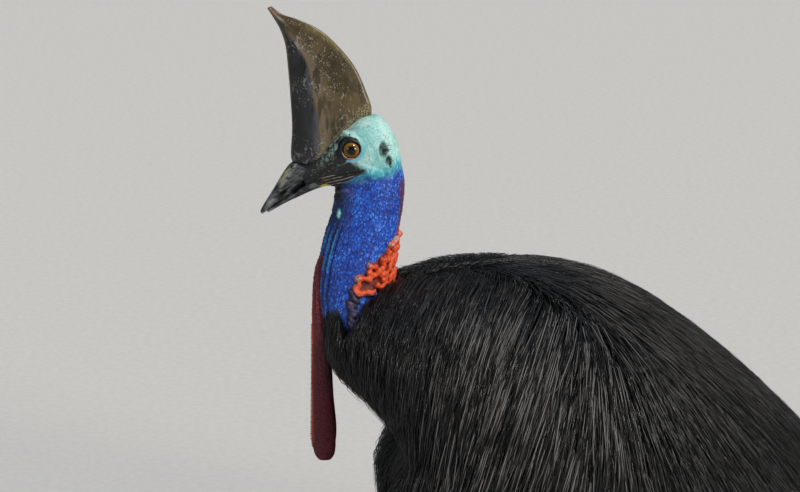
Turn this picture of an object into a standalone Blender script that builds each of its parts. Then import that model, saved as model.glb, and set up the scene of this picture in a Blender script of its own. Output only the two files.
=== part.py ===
"""A cassowary resting on the ground, life size, as a still model. Metres, +Z up.

The bird faces -X and its left side is -Y. The origin is on the floor, under the middle of the bird.
"""

import math

import bmesh
import bpy
from mathutils import Matrix, Vector
from mathutils.bvhtree import BVHTree

# The gap that touching pieces keep
GAP = 0.0004
FLOOR_CLEAR = 0.004
# Where the middle of the bird's box lies from the point that the sizes below are taken from
MIDDLE_X = 0.254

EYE_PLACE = (-0.0575, 0.0225, 0.636)
EYE_RADIUS = 0.014
LID_RADIUS = 0.0108
LID_THICKNESS = 0.0026
EAR_PLACE = (-0.0190, 0.0310, 0.640)
NOSTRIL_PLACE = (-0.1405, 0.0085, 0.5795)

SIDES = {"left": -1, "right": 1}

# The plain forms that each node was joined from, before anything was cut from it
plain_forms = {}

# Rows of the plumage of the body from breast to tail, at its tips: x, top z, bottom z, half width
BODY_ROWS = [
    (-0.092, 0.412, 0.384, 0.024),
    (-0.080, 0.428, 0.362, 0.066),
    (-0.055, 0.450, 0.335, 0.112),
    (-0.020, 0.470, 0.300, 0.155),
    (0.025, 0.490, 0.215, 0.194),
    (0.080, 0.500, 0.090, 0.226),
    (0.130, 0.501, 0.010, 0.238),
    (0.180, 0.497, -0.012, 0.245),
    (0.240, 0.482, -0.014, 0.246),
    (0.310, 0.446, -0.014, 0.236),
    (0.380, 0.393, -0.010, 0.214),
    (0.450, 0.331, 0.002, 0.180),
    (0.520, 0.258, 0.008, 0.136),
    (0.580, 0.188, 0.010, 0.092),
    (0.625, 0.122, 0.012, 0.052),
    (0.655, 0.068, 0.018, 0.020),
]
# The plane between torso and tail runs the way the plumage lies there: a point and the way it faces
TAIL_POINT = (0.350, 0.0, 0.430)
TAIL_LEAN = 17
# How the plumage leans along the body: x, degrees back from straight down
LIE = [
    (-0.10, -36), (0.0, -32), (0.06, -23), (0.12, -20), (0.19, -16), (0.25, 0),
    (0.31, 17), (0.385, 32), (0.455, 44), (0.60, 54),
]
# How far the solid core of the plumage lies inside the tips of its locks
CORE_INSET = 0.024
# Locks: length, half width, half thickness, and how far their roots are sunk into the core
LOCK_LENGTH = 0.155
LOCK_WIDTH = 0.0255
LOCK_THICKNESS = 0.0080
LOCK_SINK = 0.013
# Before this x the locks keep close to the breast instead of hanging
BREAST_END = 0.030
# Locks of the flank lie over the leg's plumage from this far out
COVER_FROM = 0.150
CORE_ROWS = [
    (x, top - CORE_INSET, min(bottom + CORE_INSET, max(bottom, bottom * 2.2)), half_width - CORE_INSET)
    for x, top, bottom, half_width in BODY_ROWS[1:-2]
]
# Locks grow in columns this far apart, and this far apart down a column
COLUMN_STEP = 0.052
LOCK_STEP = 0.062
# The x of the first and last column, and down to how many degrees from the spine locks grow in them
TORSO_COLUMNS = [(-0.066, 150), (-0.020, 140), (0.030, 104), (0.080, 80), (0.160, 84), (0.230, 100), (0.352, 124)]
# Under the breast, between the legs, locks grow only from this many degrees on
BELLY_FROM = 136
BELLY_COLUMNS = [(0.030, 172), (0.100, 160)]
TAIL_COLUMNS = [(0.366, 44), (0.410, 124), (0.500, 150), (0.600, 140)]
LEG_COLUMNS = [(-0.006, 128), (0.060, 128), (0.200, 122), (0.320, 110)]

# Rows of the leg's plumage at its tips, from knee to hock: x, y, z, half width, half height
LEG_ROWS = [
    (-0.026, 0.138, 0.238, 0.030, 0.040),
    (-0.008, 0.146, 0.228, 0.068, 0.088),
    (0.050, 0.152, 0.206, 0.094, 0.126),
    (0.130, 0.154, 0.168, 0.098, 0.132),
    (0.210, 0.150, 0.122, 0.084, 0.110),
    (0.280, 0.142, 0.084, 0.066, 0.080),
    (0.335, 0.134, 0.060, 0.048, 0.054),
    (0.372, 0.126, 0.048, 0.024, 0.030),
]

LEG_CORE_ROWS = [
    (x, y, z, max(width - CORE_INSET * 0.8, 0.012), max(height - CORE_INSET * 0.8, 0.014))
    for x, y, z, width, height in LEG_ROWS[1:-1]
]

# Rows of the neck's skin: x, z, half depth from front to back, half width
NECK_ROWS = [
    (-0.034, 0.628, 0.030, 0.026),
    (-0.035, 0.600, 0.038, 0.030),
    (-0.037, 0.575, 0.0405, 0.031),
    (-0.041, 0.545, 0.0415, 0.032),
    (-0.049, 0.515, 0.0430, 0.034),
    (-0.054, 0.485, 0.0440, 0.038),
    (-0.055, 0.455, 0.0450, 0.044),
    (-0.048, 0.425, 0.0470, 0.052),
    (-0.030, 0.395, 0.0480, 0.058),
    (-0.006, 0.372, 0.0400, 0.052),
]

# Rows of the head, each from a top point to a bottom point: top x, top z, bottom x, bottom z, half width
HEAD_ROWS = [
    (-0.003, 0.640, 0.002, 0.612, 0.013),
    (-0.012, 0.657, -0.004, 0.594, 0.026),
    (-0.026, 0.671, -0.022, 0.586, 0.0335),
    (-0.046, 0.670, -0.044, 0.583, 0.0345),
    (-0.066, 0.656, -0.066, 0.583, 0.0330),
    (-0.086, 0.640, -0.084, 0.586, 0.0255),
    (-0.104, 0.625, -0.098, 0.586, 0.0190),
    (-0.120, 0.610, -0.110, 0.582, 0.0145),
]
# The plane that parts head from neck: a point and the way it faces
THROAT_POINT = (-0.036, 0.0, 0.590)
THROAT_NORMAL = (-0.20, 0.0, 1.0)

# Rows of the casque: front edge x and z, rear edge x and z, thickness
CASQUE_ROWS = [
    (-0.122, 0.606, -0.040, 0.655, 0.034),
    (-0.1300, 0.620, -0.0335, 0.676, 0.040),
    (-0.1285, 0.655, -0.0395, 0.698, 0.034),
    (-0.1300, 0.690, -0.0520, 0.727, 0.028),
    (-0.1325, 0.725, -0.0700, 0.751, 0.0225),
    (-0.1355, 0.755, -0.0940, 0.7735, 0.0165),
    (-0.1415, 0.7745, -0.1210, 0.7865, 0.011),
    (-0.1490, 0.7880, -0.1385, 0.7925, 0.0075),
    (-0.1565, 0.8000, -0.1510, 0.8020, 0.005),
]

# Rows of the two halves of the bill, laid out as the head's
BILL_UPPER_ROWS = [
    (-0.098, 0.617, -0.088, 0.6035, 0.0150),
    (-0.114, 0.615, -0.1005, 0.5975, 0.0150),
    (-0.127, 0.6145, -0.112, 0.5910, 0.0140),
    (-0.1350, 0.6080, -0.1230, 0.5825, 0.0120),
    (-0.1430, 0.5955, -0.1345, 0.5740, 0.0102),
    (-0.1510, 0.5820, -0.1440, 0.5670, 0.0088),
    (-0.1590, 0.5690, -0.1540, 0.5595, 0.0070),
    (-0.1655, 0.5585, -0.1620, 0.5530, 0.0042),
]
BILL_LOWER_ROWS = [
    (-0.079, 0.6015, -0.076, 0.5890, 0.0150),
    (-0.0975, 0.5965, -0.0955, 0.5840, 0.0142),
    (-0.1110, 0.5895, -0.1090, 0.5785, 0.0125),
    (-0.1225, 0.5810, -0.1210, 0.5728, 0.0108),
    (-0.1345, 0.5725, -0.1330, 0.5672, 0.0092),
    (-0.1490, 0.5622, -0.1478, 0.5588, 0.0070),
    (-0.1585, 0.5550, -0.1578, 0.5530, 0.0045),
]

# Rows of a wattle, from the throat down: x, y, z, half width from front to back, half thickness
WATTLE_ROWS = [
    (-0.094, 0.008, 0.486, 0.004, 0.004),
    (-0.0985, 0.013, 0.462, 0.006, 0.0055),
    (-0.0990, 0.019, 0.425, 0.0075, 0.0050),
    (-0.0985, 0.022, 0.385, 0.0095, 0.0045),
    (-0.0965, 0.024, 0.340, 0.0115, 0.0045),
    (-0.0945, 0.025, 0.300, 0.0130, 0.0050),
    (-0.0925, 0.025, 0.272, 0.0130, 0.0050),
    (-0.0915, 0.025, 0.256, 0.0085, 0.0040),
]

# The folds of skin on the nape, and rows of the patch that they lie on: x, z, half depth, half width
FOLDS = 5
FOLD_RADIUS = 0.0042
FOLD_TOP = 0.519
FOLD_BOTTOM = 0.462
CARUNCLE_ROWS = [
    (-0.008, 0.535, 0.005, 0.006),
    (-0.012, 0.515, 0.010, 0.014),
    (-0.016, 0.495, 0.016, 0.030),
    (-0.022, 0.475, 0.020, 0.041),
    (-0.030, 0.458, 0.018, 0.047),
    (-0.040, 0.445, 0.010, 0.046),
]

# The lobe of the wing as it shows among the plumage: x, z, half depth, half height
WING_ROWS = [
    (0.066, 0.214, 0.0030, 0.004),
    (0.084, 0.208, 0.0065, 0.009),
    (0.106, 0.200, 0.0075, 0.011),
    (0.128, 0.191, 0.0065, 0.010),
    (0.147, 0.182, 0.0040, 0.006),
]
# Each quill of a wing: start x and z, end x and z, how far it bows back, radius
QUILLS = [
    (0.092, 0.196, 0.132, 0.052, 0.016, 0.0026),
    (0.106, 0.192, 0.166, 0.046, 0.020, 0.0030),
    (0.120, 0.188, 0.200, 0.050, 0.024, 0.0031),
    (0.132, 0.184, 0.228, 0.066, 0.024, 0.0028),
    (0.142, 0.180, 0.244, 0.092, 0.020, 0.0024),
]

# The leg's bare part: x, y, z, half width, half height, from hock to toes
TARSUS_ROWS = [
    (0.362, 0.124, 0.032, 0.020, 0.022),
    (0.335, 0.124, 0.025, 0.024, 0.0262),
    (0.290, 0.123, 0.0210, 0.0205, 0.0235),
    (0.200, 0.120, 0.0175, 0.0175, 0.0205),
    (0.100, 0.117, 0.0165, 0.0175, 0.0195),
    (0.040, 0.115, 0.0172, 0.0205, 0.0205),
    (0.010, 0.114, 0.0170, 0.0240, 0.0200),
    (-0.010, 0.113, 0.0155, 0.0200, 0.0165),
]
# Each toe: the way it points from straight ahead, in degrees outward, its length, thickness, and claw length
TOES = {
    "inner": (-24, 0.078, 0.0145, 0.105),
    "middle": (2, 0.150, 0.0165, 0.046),
    "outer": (27, 0.104, 0.0135, 0.036),
}
TOE_ROOT = (0.004, 0.114)


def clear_scene():
    for obj in list(bpy.data.objects):
        bpy.data.objects.remove(obj, do_unlink=True)


def finish_of(name, colour, roughness):
    """A material of one colour."""
    material = bpy.data.materials.new(name)
    material.use_nodes = True
    shader = material.node_tree.nodes["Principled BSDF"]
    shader.inputs["Base Color"].default_value = (*colour, 1)
    shader.inputs["Roughness"].default_value = roughness
    shader.inputs["Metallic"].default_value = 0.0
    return material


def smooth_rows(rows, steps):
    """The rows with steps - 1 more between each two, on a smooth curve through them all."""
    found = []
    last = len(rows) - 1
    for i in range(last):
        before, here = rows[max(i - 1, 0)], rows[i]
        after, beyond = rows[i + 1], rows[min(i + 2, last)]
        for k in range(steps):
            t = k / steps
            found.append(
                tuple(
                    0.5 * (2 * b + (c - a) * t + (2 * a - 5 * b + 4 * c - d) * t**2 + (3 * b - a - 3 * c + d) * t**3)
                    for a, b, c, d in zip(before, here, after, beyond)
                )
            )
    return found + [tuple(rows[-1])]


def oval(centre, across, up, sides, sharp=1.0):
    """Points round an oval, with across and up its two half axes. Under 1, sharp makes it squarer."""
    points = []
    for k in range(sides):
        a = math.tau * k / sides
        c, s = math.cos(a), math.sin(a)
        points.append(
            centre
            + across * math.copysign(abs(c) ** sharp, c)
            + up * math.copysign(abs(s) ** sharp, s)
        )
    return points


def skin_over(name, rings, material, ends=(None, None)):
    """A closed mesh over rings of points, with each end closed by a point or, without one, by a flat face."""
    mesh = bmesh.new()
    loops = [[mesh.verts.new(p) for p in ring] for ring in rings]
    count = len(rings[0])
    for a, b in zip(loops, loops[1:]):
        for k in range(count):
            mesh.faces.new((a[k], a[(k + 1) % count], b[(k + 1) % count], b[k]))
    for loop, end in zip((loops[0], loops[-1]), ends):
        if end is None:
            mesh.faces.new(loop)
        else:
            pole = mesh.verts.new(end)
            for k in range(count):
                mesh.faces.new((loop[k], loop[(k + 1) % count], pole))
    bmesh.ops.triangulate(mesh, faces=mesh.faces[:])
    bmesh.ops.recalc_face_normals(mesh, faces=mesh.faces[:])
    if mesh.calc_volume(signed=True) < 0:
        bmesh.ops.reverse_faces(mesh, faces=mesh.faces[:])
    return object_from(name, mesh, material)


def object_from(name, mesh, material):
    data = bpy.data.meshes.new(name)
    mesh.to_mesh(data)
    mesh.free()
    data.materials.append(material)
    data.shade_smooth()
    obj = bpy.data.objects.new(name, data)
    bpy.context.scene.collection.objects.link(obj)
    return obj


def remove(obj):
    bpy.data.objects.remove(obj, do_unlink=True)


def evaluated(obj):
    bpy.context.view_layer.update()
    graph = bpy.context.evaluated_depsgraph_get()
    return bpy.data.meshes.new_from_object(obj.evaluated_get(graph))


def combine(obj, others, operation):
    """Joins the others to obj, or cuts them from it, and removes them."""
    forms = plain_forms.setdefault(obj.name, [obj.data.copy()])
    if operation == "UNION":
        forms += [other.data.copy() for other in others]
    group = bpy.data.collections.new("operands")
    bpy.context.scene.collection.children.link(group)
    for other in others:
        group.objects.link(other)
    modifier = obj.modifiers.new(operation, "BOOLEAN")
    modifier.operation = operation
    modifier.operand_type = "COLLECTION"
    modifier.collection = group
    modifier.solver = "MANIFOLD"
    data = evaluated(obj)
    obj.modifiers.clear()
    old = obj.data
    obj.data = data
    bpy.data.meshes.remove(old)
    for other in others:
        remove(other)
    bpy.data.collections.remove(group)
    keep_largest(obj)


def keep_largest(obj):
    """Drops every closed surface of obj but the one that holds most."""
    mesh = bmesh.new()
    mesh.from_mesh(obj.data)
    bmesh.ops.triangulate(mesh, faces=mesh.faces[:])
    left = set(mesh.faces)
    shells = []
    while left:
        shell, edge_of_shell = set(), [left.pop()]
        while edge_of_shell:
            face = edge_of_shell.pop()
            shell.add(face)
            for edge in face.edges:
                for other in edge.link_faces:
                    if other in left:
                        left.remove(other)
                        edge_of_shell.append(other)
        shells.append(shell)
    if len(shells) > 1:
        shells.sort(key=volume_of, reverse=True)
        extra = [face for shell in shells[1:] for face in shell]
        bmesh.ops.delete(mesh, geom=extra, context="FACES")
    mesh.to_mesh(obj.data)
    mesh.free()


def lighten(obj, degrees):
    """Joins neighbouring triangles that lie nearly flat to each other, and splits what they make afresh."""
    mesh = bmesh.new()
    mesh.from_mesh(obj.data)
    bmesh.ops.dissolve_limit(
        mesh, angle_limit=math.radians(degrees), verts=mesh.verts[:], edges=mesh.edges[:]
    )
    bmesh.ops.triangulate(mesh, faces=mesh.faces[:])
    mesh.to_mesh(obj.data)
    mesh.free()


def volume_of(faces):
    return abs(
        sum(f.verts[0].co.dot(f.verts[1].co.cross(f.verts[2].co)) for f in faces)
    )


def grown(pieces, amount=GAP):
    """The plain forms of the pieces, this much larger all round, to cut their neighbour with."""
    copies = []
    for piece in pieces:
        for form in plain_forms.get(piece.name, [piece.data]):
            mesh = bmesh.new()
            mesh.from_mesh(form)
            mesh.normal_update()
            shifts = [v.normal * amount for v in mesh.verts]
            for vertex, shift in zip(mesh.verts, shifts):
                vertex.co += shift
            data = bpy.data.meshes.new("grown")
            mesh.to_mesh(data)
            mesh.free()
            copies.append(bpy.data.objects.new("grown", data))
            bpy.context.scene.collection.objects.link(copies[-1])
    return copies


def slab(name, point, normal, size, depth):
    """A box with one face through point, reaching the way of normal, to cut along a plane with."""
    mesh = bmesh.new()
    bmesh.ops.create_cube(mesh, size=1)
    bmesh.ops.scale(mesh, vec=(size, size, depth), verts=mesh.verts)
    bmesh.ops.translate(mesh, vec=(0, 0, depth / 2), verts=mesh.verts)
    turn = Vector((0, 0, 1)).rotation_difference(Vector(normal)).to_matrix().to_4x4()
    bmesh.ops.transform(mesh, matrix=Matrix.Translation(point) @ turn, verts=mesh.verts)
    data = bpy.data.meshes.new(name)
    mesh.to_mesh(data)
    mesh.free()
    obj = bpy.data.objects.new(name, data)
    bpy.context.scene.collection.objects.link(obj)
    return obj


def ball(name, place, radii, material, sides=14, rings=9):
    mesh = bmesh.new()
    bmesh.ops.create_uvsphere(mesh, u_segments=sides, v_segments=rings, radius=1)
    bmesh.ops.scale(mesh, vec=radii, verts=mesh.verts)
    bmesh.ops.translate(mesh, vec=place, verts=mesh.verts)
    bmesh.ops.triangulate(mesh, faces=mesh.faces[:])
    return object_from(name, mesh, material)


def tube_rings(rows, sides, up_hint):
    """Rings along rows of x, y, z, half width and half height. Up leans as near to up_hint as the path lets it."""
    rings = []
    for i, (x, y, z, half_width, half_height) in enumerate(rows):
        ahead = Vector(rows[min(i + 1, len(rows) - 1)][:3])
        behind = Vector(rows[max(i - 1, 0)][:3])
        along = (ahead - behind).normalized()
        up = Vector(up_hint)
        up = (up - along * up.dot(along)).normalized()
        across = along.cross(up)
        rings.append(
            oval(Vector((x, y, z)), across * half_width, up * half_height, sides)
        )
    return rings


def blade_rings(rows, sides, sharp=1.0):
    """Rings from rows of a top point, a bottom point and a half width, as on the head and the bill."""
    rings = []
    for top_x, top_z, bottom_x, bottom_z, half_width in rows:
        top, bottom = Vector((top_x, 0, top_z)), Vector((bottom_x, 0, bottom_z))
        rings.append(
            oval((top + bottom) / 2, Vector((0, half_width, 0)), (top - bottom) / 2, sides, sharp)
        )
    return rings


def middle_of(ring):
    return sum(ring, Vector()) / len(ring)


def beyond(rings, at_start, share=0.35):
    """A point a little past the first or the last ring, which closes it as a rounded end."""
    near, far = (rings[0], rings[1]) if at_start else (rings[-1], rings[-2])
    return middle_of(near) + (middle_of(near) - middle_of(far)) * share


def closed_loft(name, rings, material, share=0.35):
    return skin_over(
        name, rings, material, (beyond(rings, True, share), beyond(rings, False, share))
    )


def body_rings(rows, sides):
    rings = []
    for x, top, bottom, half_width in rows:
        rings.append(
            oval(
                Vector((x, 0, (top + bottom) / 2)),
                Vector((0, half_width, 0)),
                Vector((0, 0, (top - bottom) / 2)),
                sides,
                0.92,
            )
        )
    return rings


def neck_rings(rows, sides):
    return tube_rings(
        [(x, 0, z, half_width, half_depth) for x, z, half_depth, half_width in rows],
        sides,
        (1, 0, 0),
    )


def on_floor(obj, height=0.0):
    """Presses whatever reaches below the height flat on it."""
    for vertex in obj.data.vertices:
        vertex.co.z = max(vertex.co.z, height)


def make_casque(material):
    rings = []
    for front_x, front_z, rear_x, rear_z, thickness in smooth_rows(CASQUE_ROWS, 2):
        front, rear = Vector((front_x, 0, front_z)), Vector((rear_x, 0, rear_z))
        half = Vector((0, thickness / 2, 0))
        # Shares of the chord from the front keel, with the side's share of the half thickness there
        outline = [(0, 0.10), (0.10, 0.52), (0.30, 1.0), (0.55, 0.74), (0.80, 0.46), (1.0, 0.12)]
        near = [front.lerp(rear, share) - half * side for share, side in outline]
        far = [front.lerp(rear, share) + half * side for share, side in reversed(outline)]
        rings.append(near + far)
    tip = middle_of(rings[-1]) + Vector((-0.0025, 0, 0.002))
    return skin_over("casque", rings, material, (None, tip))


def make_head(materials, neck, casque, bills, eyes):
    """The head is parted from the neck by a thin cut, and makes room for what it carries."""
    rings = blade_rings(smooth_rows(HEAD_ROWS, 2), 18, 0.95)
    head = closed_loft("head", rings, materials["face"], 0.3)
    combine(head, grown([neck], 0), "UNION")
    lids = []
    for side in SIDES.values():
        x, y, z = EYE_PLACE
        mesh = bmesh.new()
        rim = [
            Vector((LID_RADIUS * math.cos(a), 0, LID_RADIUS * math.sin(a)))
            for a in (math.tau * k / 12 for k in range(12))
        ]
        rings = [
            oval(p, p.normalized() * LID_THICKNESS, Vector((0, LID_THICKNESS * 2.2, 0)), 5)
            for p in rim
        ]
        loops = [[mesh.verts.new(p) for p in ring] for ring in rings]
        for i, loop in enumerate(loops):
            following = loops[(i + 1) % len(loops)]
            for k in range(5):
                mesh.faces.new((loop[k], loop[(k + 1) % 5], following[(k + 1) % 5], following[k]))
        bmesh.ops.translate(mesh, vec=(x, side * (y + 0.0085), z), verts=mesh.verts)
        bmesh.ops.triangulate(mesh, faces=mesh.faces[:])
        bmesh.ops.recalc_face_normals(mesh, faces=mesh.faces[:])
        lids.append(object_from("lid", mesh, materials["face"]))
    combine(head, lids, "UNION")
    cutters = [slab("below", THROAT_POINT, -Vector(THROAT_NORMAL), 0.5, 0.4)]
    cutters += grown([casque, *bills, *eyes])
    for side in SIDES.values():
        x, y, z = EAR_PLACE
        cutters.append(
            ball("ear_hole", (x, side * y, z), (0.0040, 0.0050, 0.0075), materials["face"], 10, 6)
        )
        mouth = [
            (-0.108, side * 0.020, 0.5935, 0.0055, 0.0007),
            (-0.0856, side * 0.0265, 0.6035, 0.0055, 0.0008),
            (-0.060, side * 0.0350, 0.6115, 0.0055, 0.0009),
            (-0.043, side * 0.0370, 0.6165, 0.0050, 0.0007),
        ]
        cutters.append(
            skin_over("mouth", tube_rings(mouth, 6, (0, 0, 1)), materials["face"])
        )
    combine(head, cutters, "DIFFERENCE")
    return head


def make_bill(name, rows, material, nostrils):
    rings = blade_rings(rows, 12, 0.85)
    bill = skin_over(name, rings, material, (None, beyond(rings, False, 0.3)))
    if nostrils:
        x, y, z = NOSTRIL_PLACE
        holes = []
        for side in SIDES.values():
            hole = ball("nostril", (0, 0, 0), (0.0056, 0.0024, 0.0016), material, 10, 6)
            lean = Matrix.Rotation(math.radians(-38), 4, "Y")
            hole.data.transform(Matrix.Translation((x, side * y, z)) @ lean)
            holes.append(hole)
        combine(bill, holes, "DIFFERENCE")
    return bill


def make_eye(side, material):
    x, y, z = EYE_PLACE
    return ball(
        "eye_" + side, (x, SIDES[side] * y, z), (EYE_RADIUS,) * 3, material, 14, 8
    )


def make_tarsus(side, material):
    rows = [(x, SIDES[side] * y, z, w, h) for x, y, z, w, h in TARSUS_ROWS]
    tarsus = closed_loft("tarsus_" + side, tube_rings(rows, 9, (0, 0, 1)), material, 0.3)
    on_floor(tarsus)
    return tarsus


def toe_line(side, angle):
    """Where a toe starts, and the way it points."""
    turn = math.radians(angle)
    way = Vector((-math.cos(turn), SIDES[side] * math.sin(turn), 0))
    start = Vector((TOE_ROOT[0], SIDES[side] * TOE_ROOT[1], 0))
    return start, way


def make_toe(side, name, tarsus, material):
    angle, length, thick, _ = TOES[name]
    start, way = toe_line(side, angle)
    # Shares of the length, with half width and half height as shares of the thickness
    outline = [
        (0.00, 0.98, 0.98), (0.26, 0.88, 0.88), (0.42, 0.98, 0.98), (0.58, 0.80, 0.80),
        (0.72, 0.92, 0.90), (0.88, 0.72, 0.72), (1.0, 0.52, 0.54),
    ]
    rows = []
    for share, width, height in outline:
        place = start + way * (length * share)
        half = thick * height
        rows.append((place.x, place.y, half * 0.96, thick * width, half))
    rings = tube_rings(rows, 7, (0, 0, 1))
    toe = skin_over(f"toe_{name}_{side}", rings, material, (None, beyond(rings, False, 0.4)))
    on_floor(toe)
    combine(toe, grown([tarsus]), "DIFFERENCE")
    return toe


def make_claw(side, name, toe, material):
    angle, length, thick, claw = TOES[name]
    start, way = toe_line(side, angle)
    rows = []
    for share, size, rise in [(0, 0.50, 0.0), (0.40, 0.42, 0.06), (0.78, 0.22, 0.0)]:
        place = start + way * (length * 0.93 + claw * share)
        half = thick * size
        height = max(half + 0.0002, thick * (0.62 + rise - 0.42 * share))
        rows.append((place.x, place.y, height, half, half))
    rings = tube_rings(rows, 7, (0, 0, 1))
    nail = skin_over(f"claw_{name}_{side}", rings, material, (None, beyond(rings, False, 0.6)))
    on_floor(nail)
    combine(nail, grown([toe]), "DIFFERENCE")
    return nail


def make_wattle(side, material):
    rows = [(x, SIDES[side] * y, z, t, w) for x, y, z, w, t in smooth_rows(WATTLE_ROWS, 2)]
    rings = tube_rings(rows, 8, (1, 0, 0))
    return closed_loft("wattle_" + side, rings, material, 0.35)


def neck_at(z):
    """Where the middle of the neck is at this height, and its half depth and half width."""
    x, _, half_depth, half_width = row_at([(-row[1], *row) for row in NECK_ROWS], -z)[1:]
    return x, half_depth, half_width


def make_caruncle(material):
    """A patch over the nape with folds of skin that wander across it."""
    patch = closed_loft("nape_caruncle", neck_rings(CARUNCLE_ROWS, 12), material, 0.3)
    folds = []
    for number in range(FOLDS):
        share = number / (FOLDS - 1)
        height = FOLD_TOP + (FOLD_BOTTOM - FOLD_TOP) * share
        spread = math.radians(22 + 62 * share**0.7)
        rows = []
        for k in range(7):
            turn = spread * (k / 3 - 1)
            z = height - 0.010 * (k / 3 - 1) ** 2 + 0.0032 * math.sin(k * 2.5 + number * 1.9)
            x, half_depth, half_width = neck_at(z)
            out = 0.0035 + 0.0015 * math.cos(k * 2.1 + number)
            size = FOLD_RADIUS * (0.55 if k in (0, 6) else 1)
            place = (x + (half_depth + out) * math.cos(turn), (half_width + out) * math.sin(turn), z)
            rows.append((*place, size, size))
        folds.append(closed_loft("fold", tube_rings(rows, 5, (0, 0, 1)), material, 0.3))
    combine(patch, folds, "UNION")
    return patch


def leg_rings(rows, side, sides):
    return tube_rings([(x, SIDES[side] * y, z, w, h) for x, y, z, w, h in rows], sides, (0, 0, 1))


def depth_test(obj):
    """What gives how far outside the closed form a point lies, under 0 inside it."""
    tree = plumage_tree([obj])

    def depth(point):
        spot, normal, _, _ = tree.find_nearest(point)
        return math.copysign((point - spot).length, (point - spot).dot(normal))

    return depth


def within(obj, margin, deepest):
    """A test for points less than margin outside the form, or inside it down to the depth given."""
    depth = depth_test(obj)
    return lambda point: -deepest < depth(point) < margin


def further_out(obj, margin):
    depth = depth_test(obj)
    return lambda point: depth(point) > margin


def plumage_tree(forms):
    """What is asked for the nearest place on the outside of these forms."""
    mesh = bmesh.new()
    for form in forms:
        mesh.from_mesh(form.data)
    tree = BVHTree.FromBMesh(mesh)
    mesh.free()
    return tree


def beside(tree, side, x, z, stand_off):
    """A point at x and z, this far out from whatever plumage lies there."""
    start = Vector((x, SIDES[side] * 0.6, z))
    hit, _, _, _ = tree.ray_cast(start, Vector((0, -SIDES[side], 0)))
    return Vector((x, hit.y + SIDES[side] * stand_off, z))


def lean_at(x):
    """How far the plumage leans back from straight down at x, in radians."""
    for (x0, lean0), (x1, lean1) in zip(LIE, LIE[1:]):
        if x <= x1:
            share = min(max((x - x0) / (x1 - x0), 0), 1)
            return math.radians(lean0 + (lean1 - lean0) * share)
    return math.radians(LIE[-1][1])


def lie_at(point, normal, side, hug_from):
    """The way a lock runs here: it parts at the spine, and falls along the body. Before hug_from it keeps to it."""
    lean = lean_at(point.x) * min(1, 1.6 - 1.2 * max(normal.z, 0)) * (1 - 0.9 * max(-normal.x, 0))
    hanging = 0.5 if point.x > hug_from else 1
    way = Vector((math.sin(lean), side * 0.5 * max(normal.z, 0), -math.cos(lean)))
    inward = way.dot(normal)
    # Where the body turns away underneath, the lock hangs on its own
    way -= normal * inward * (1 if inward < 0 else hanging)
    return way.normalized()


def lock_path(tree, root, side, length, room, hug_from, covers, stops, swing):
    """Points along a lock, with the way its flat side faces at each. Room is how far its tip may rise.

    The lock lies over whatever is in covers, and ends where a stop says so.
    """
    here, path = Vector(root), []
    shares = (0.0, 0.22, 0.50, 0.78, 1.0)
    raised = (0, 0.40, 0.78, 0.96, 1.0)
    for k, (share, rise) in enumerate(zip(shares, raised)):
        spot, normal, _, _ = tree.find_nearest(here)
        loose = 0.003 if here.x < hug_from else 1
        base = spot + normal * min(max((here - spot).dot(normal), 0), loose)
        # Locks that lie on the back neither start as deep nor end as high
        rise += (0.70 - rise) * 0.8 * max(normal.z, 0) ** 4
        point = base + normal * (rise * room if k else -LOCK_SINK)
        for cover in covers if k > 1 and abs(point.y) > COVER_FROM else ():
            place, out, _, _ = cover.ray_cast(Vector((point.x, side, point.z)), Vector((0, -side, 0)))
            if place and side * (point.y - place.y) < LOCK_THICKNESS:
                point, normal = Vector((point.x, place.y + side * LOCK_THICKNESS, point.z)), out
        if k > 1 and (point.z < FLOOR_CLEAR + 0.006 or any(stop(point) for stop in stops)):
            break
        path.append((point, normal))
        if k < 4:
            step = length * (shares[k + 1] - share)
            way = lie_at(spot, normal, side, hug_from)
            way = (way + way.cross(normal) * swing * (k - 1)).normalized()
            here = base + way * step
    return path


def lock_over(path, width, thickness, material):
    """A flat tapered lock along its path, widest a third of the way down."""
    shares = {5: (0.62, 1.0, 0.86, 0.50), 4: (0.62, 1.0, 0.62), 3: (0.62, 0.85)}[len(path)]
    rings = []
    for k, share in enumerate(shares):
        point, normal = path[k]
        along = (path[k + 1][0] - path[max(k - 1, 0)][0]).normalized()
        across = along.cross(normal).normalized() * width * share
        up = across.cross(along).normalized() * thickness * (0.5 + 0.5 * share)
        if up.dot(normal) < 0:
            up.negate()
        rings.append([point + across - up * 0.25, point + up, point - across - up * 0.25])
    lock = skin_over("lock", rings, material, (None, path[-1][0]))
    for vertex in lock.data.vertices:
        vertex.co.z = max(vertex.co.z, FLOOR_CLEAR)
    return lock


def grow_locks(core, tree, starts, room, hug_from, covers, stops):
    """Joins a lock to the core for each start: a point, a side and a length."""
    locks = []
    for number, (start, side, length) in enumerate(starts):
        length *= 1 + 0.16 * math.sin(number * 2.4)
        path = lock_path(
            tree, start, side, length, room, hug_from, covers, stops, 0.10 * math.cos(number * 1.7)
        )
        if len(path) > 2:
            width = LOCK_WIDTH * (1 + 0.15 * math.cos(number * 3.1))
            locks.append(lock_over(path, width, LOCK_THICKNESS, core.data.materials[0]))
    combine(core, locks, "UNION")


def row_at(rows, x):
    for near, far in zip(rows, rows[1:]):
        if near[0] <= x <= far[0]:
            share = (x - near[0]) / (far[0] - near[0])
            return [a + (b - a) * share for a, b in zip(near, far)]
    return list(rows[0] if x < rows[0][0] else rows[-1])


def columns_of(limits):
    """The x of each column and the last turn at which a lock grows there."""
    columns = []
    x = limits[0][0]
    while x <= limits[-1][0] + 0.001:
        columns.append((x, row_at(limits, x)[1]))
        x += COLUMN_STEP
    return columns


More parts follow.
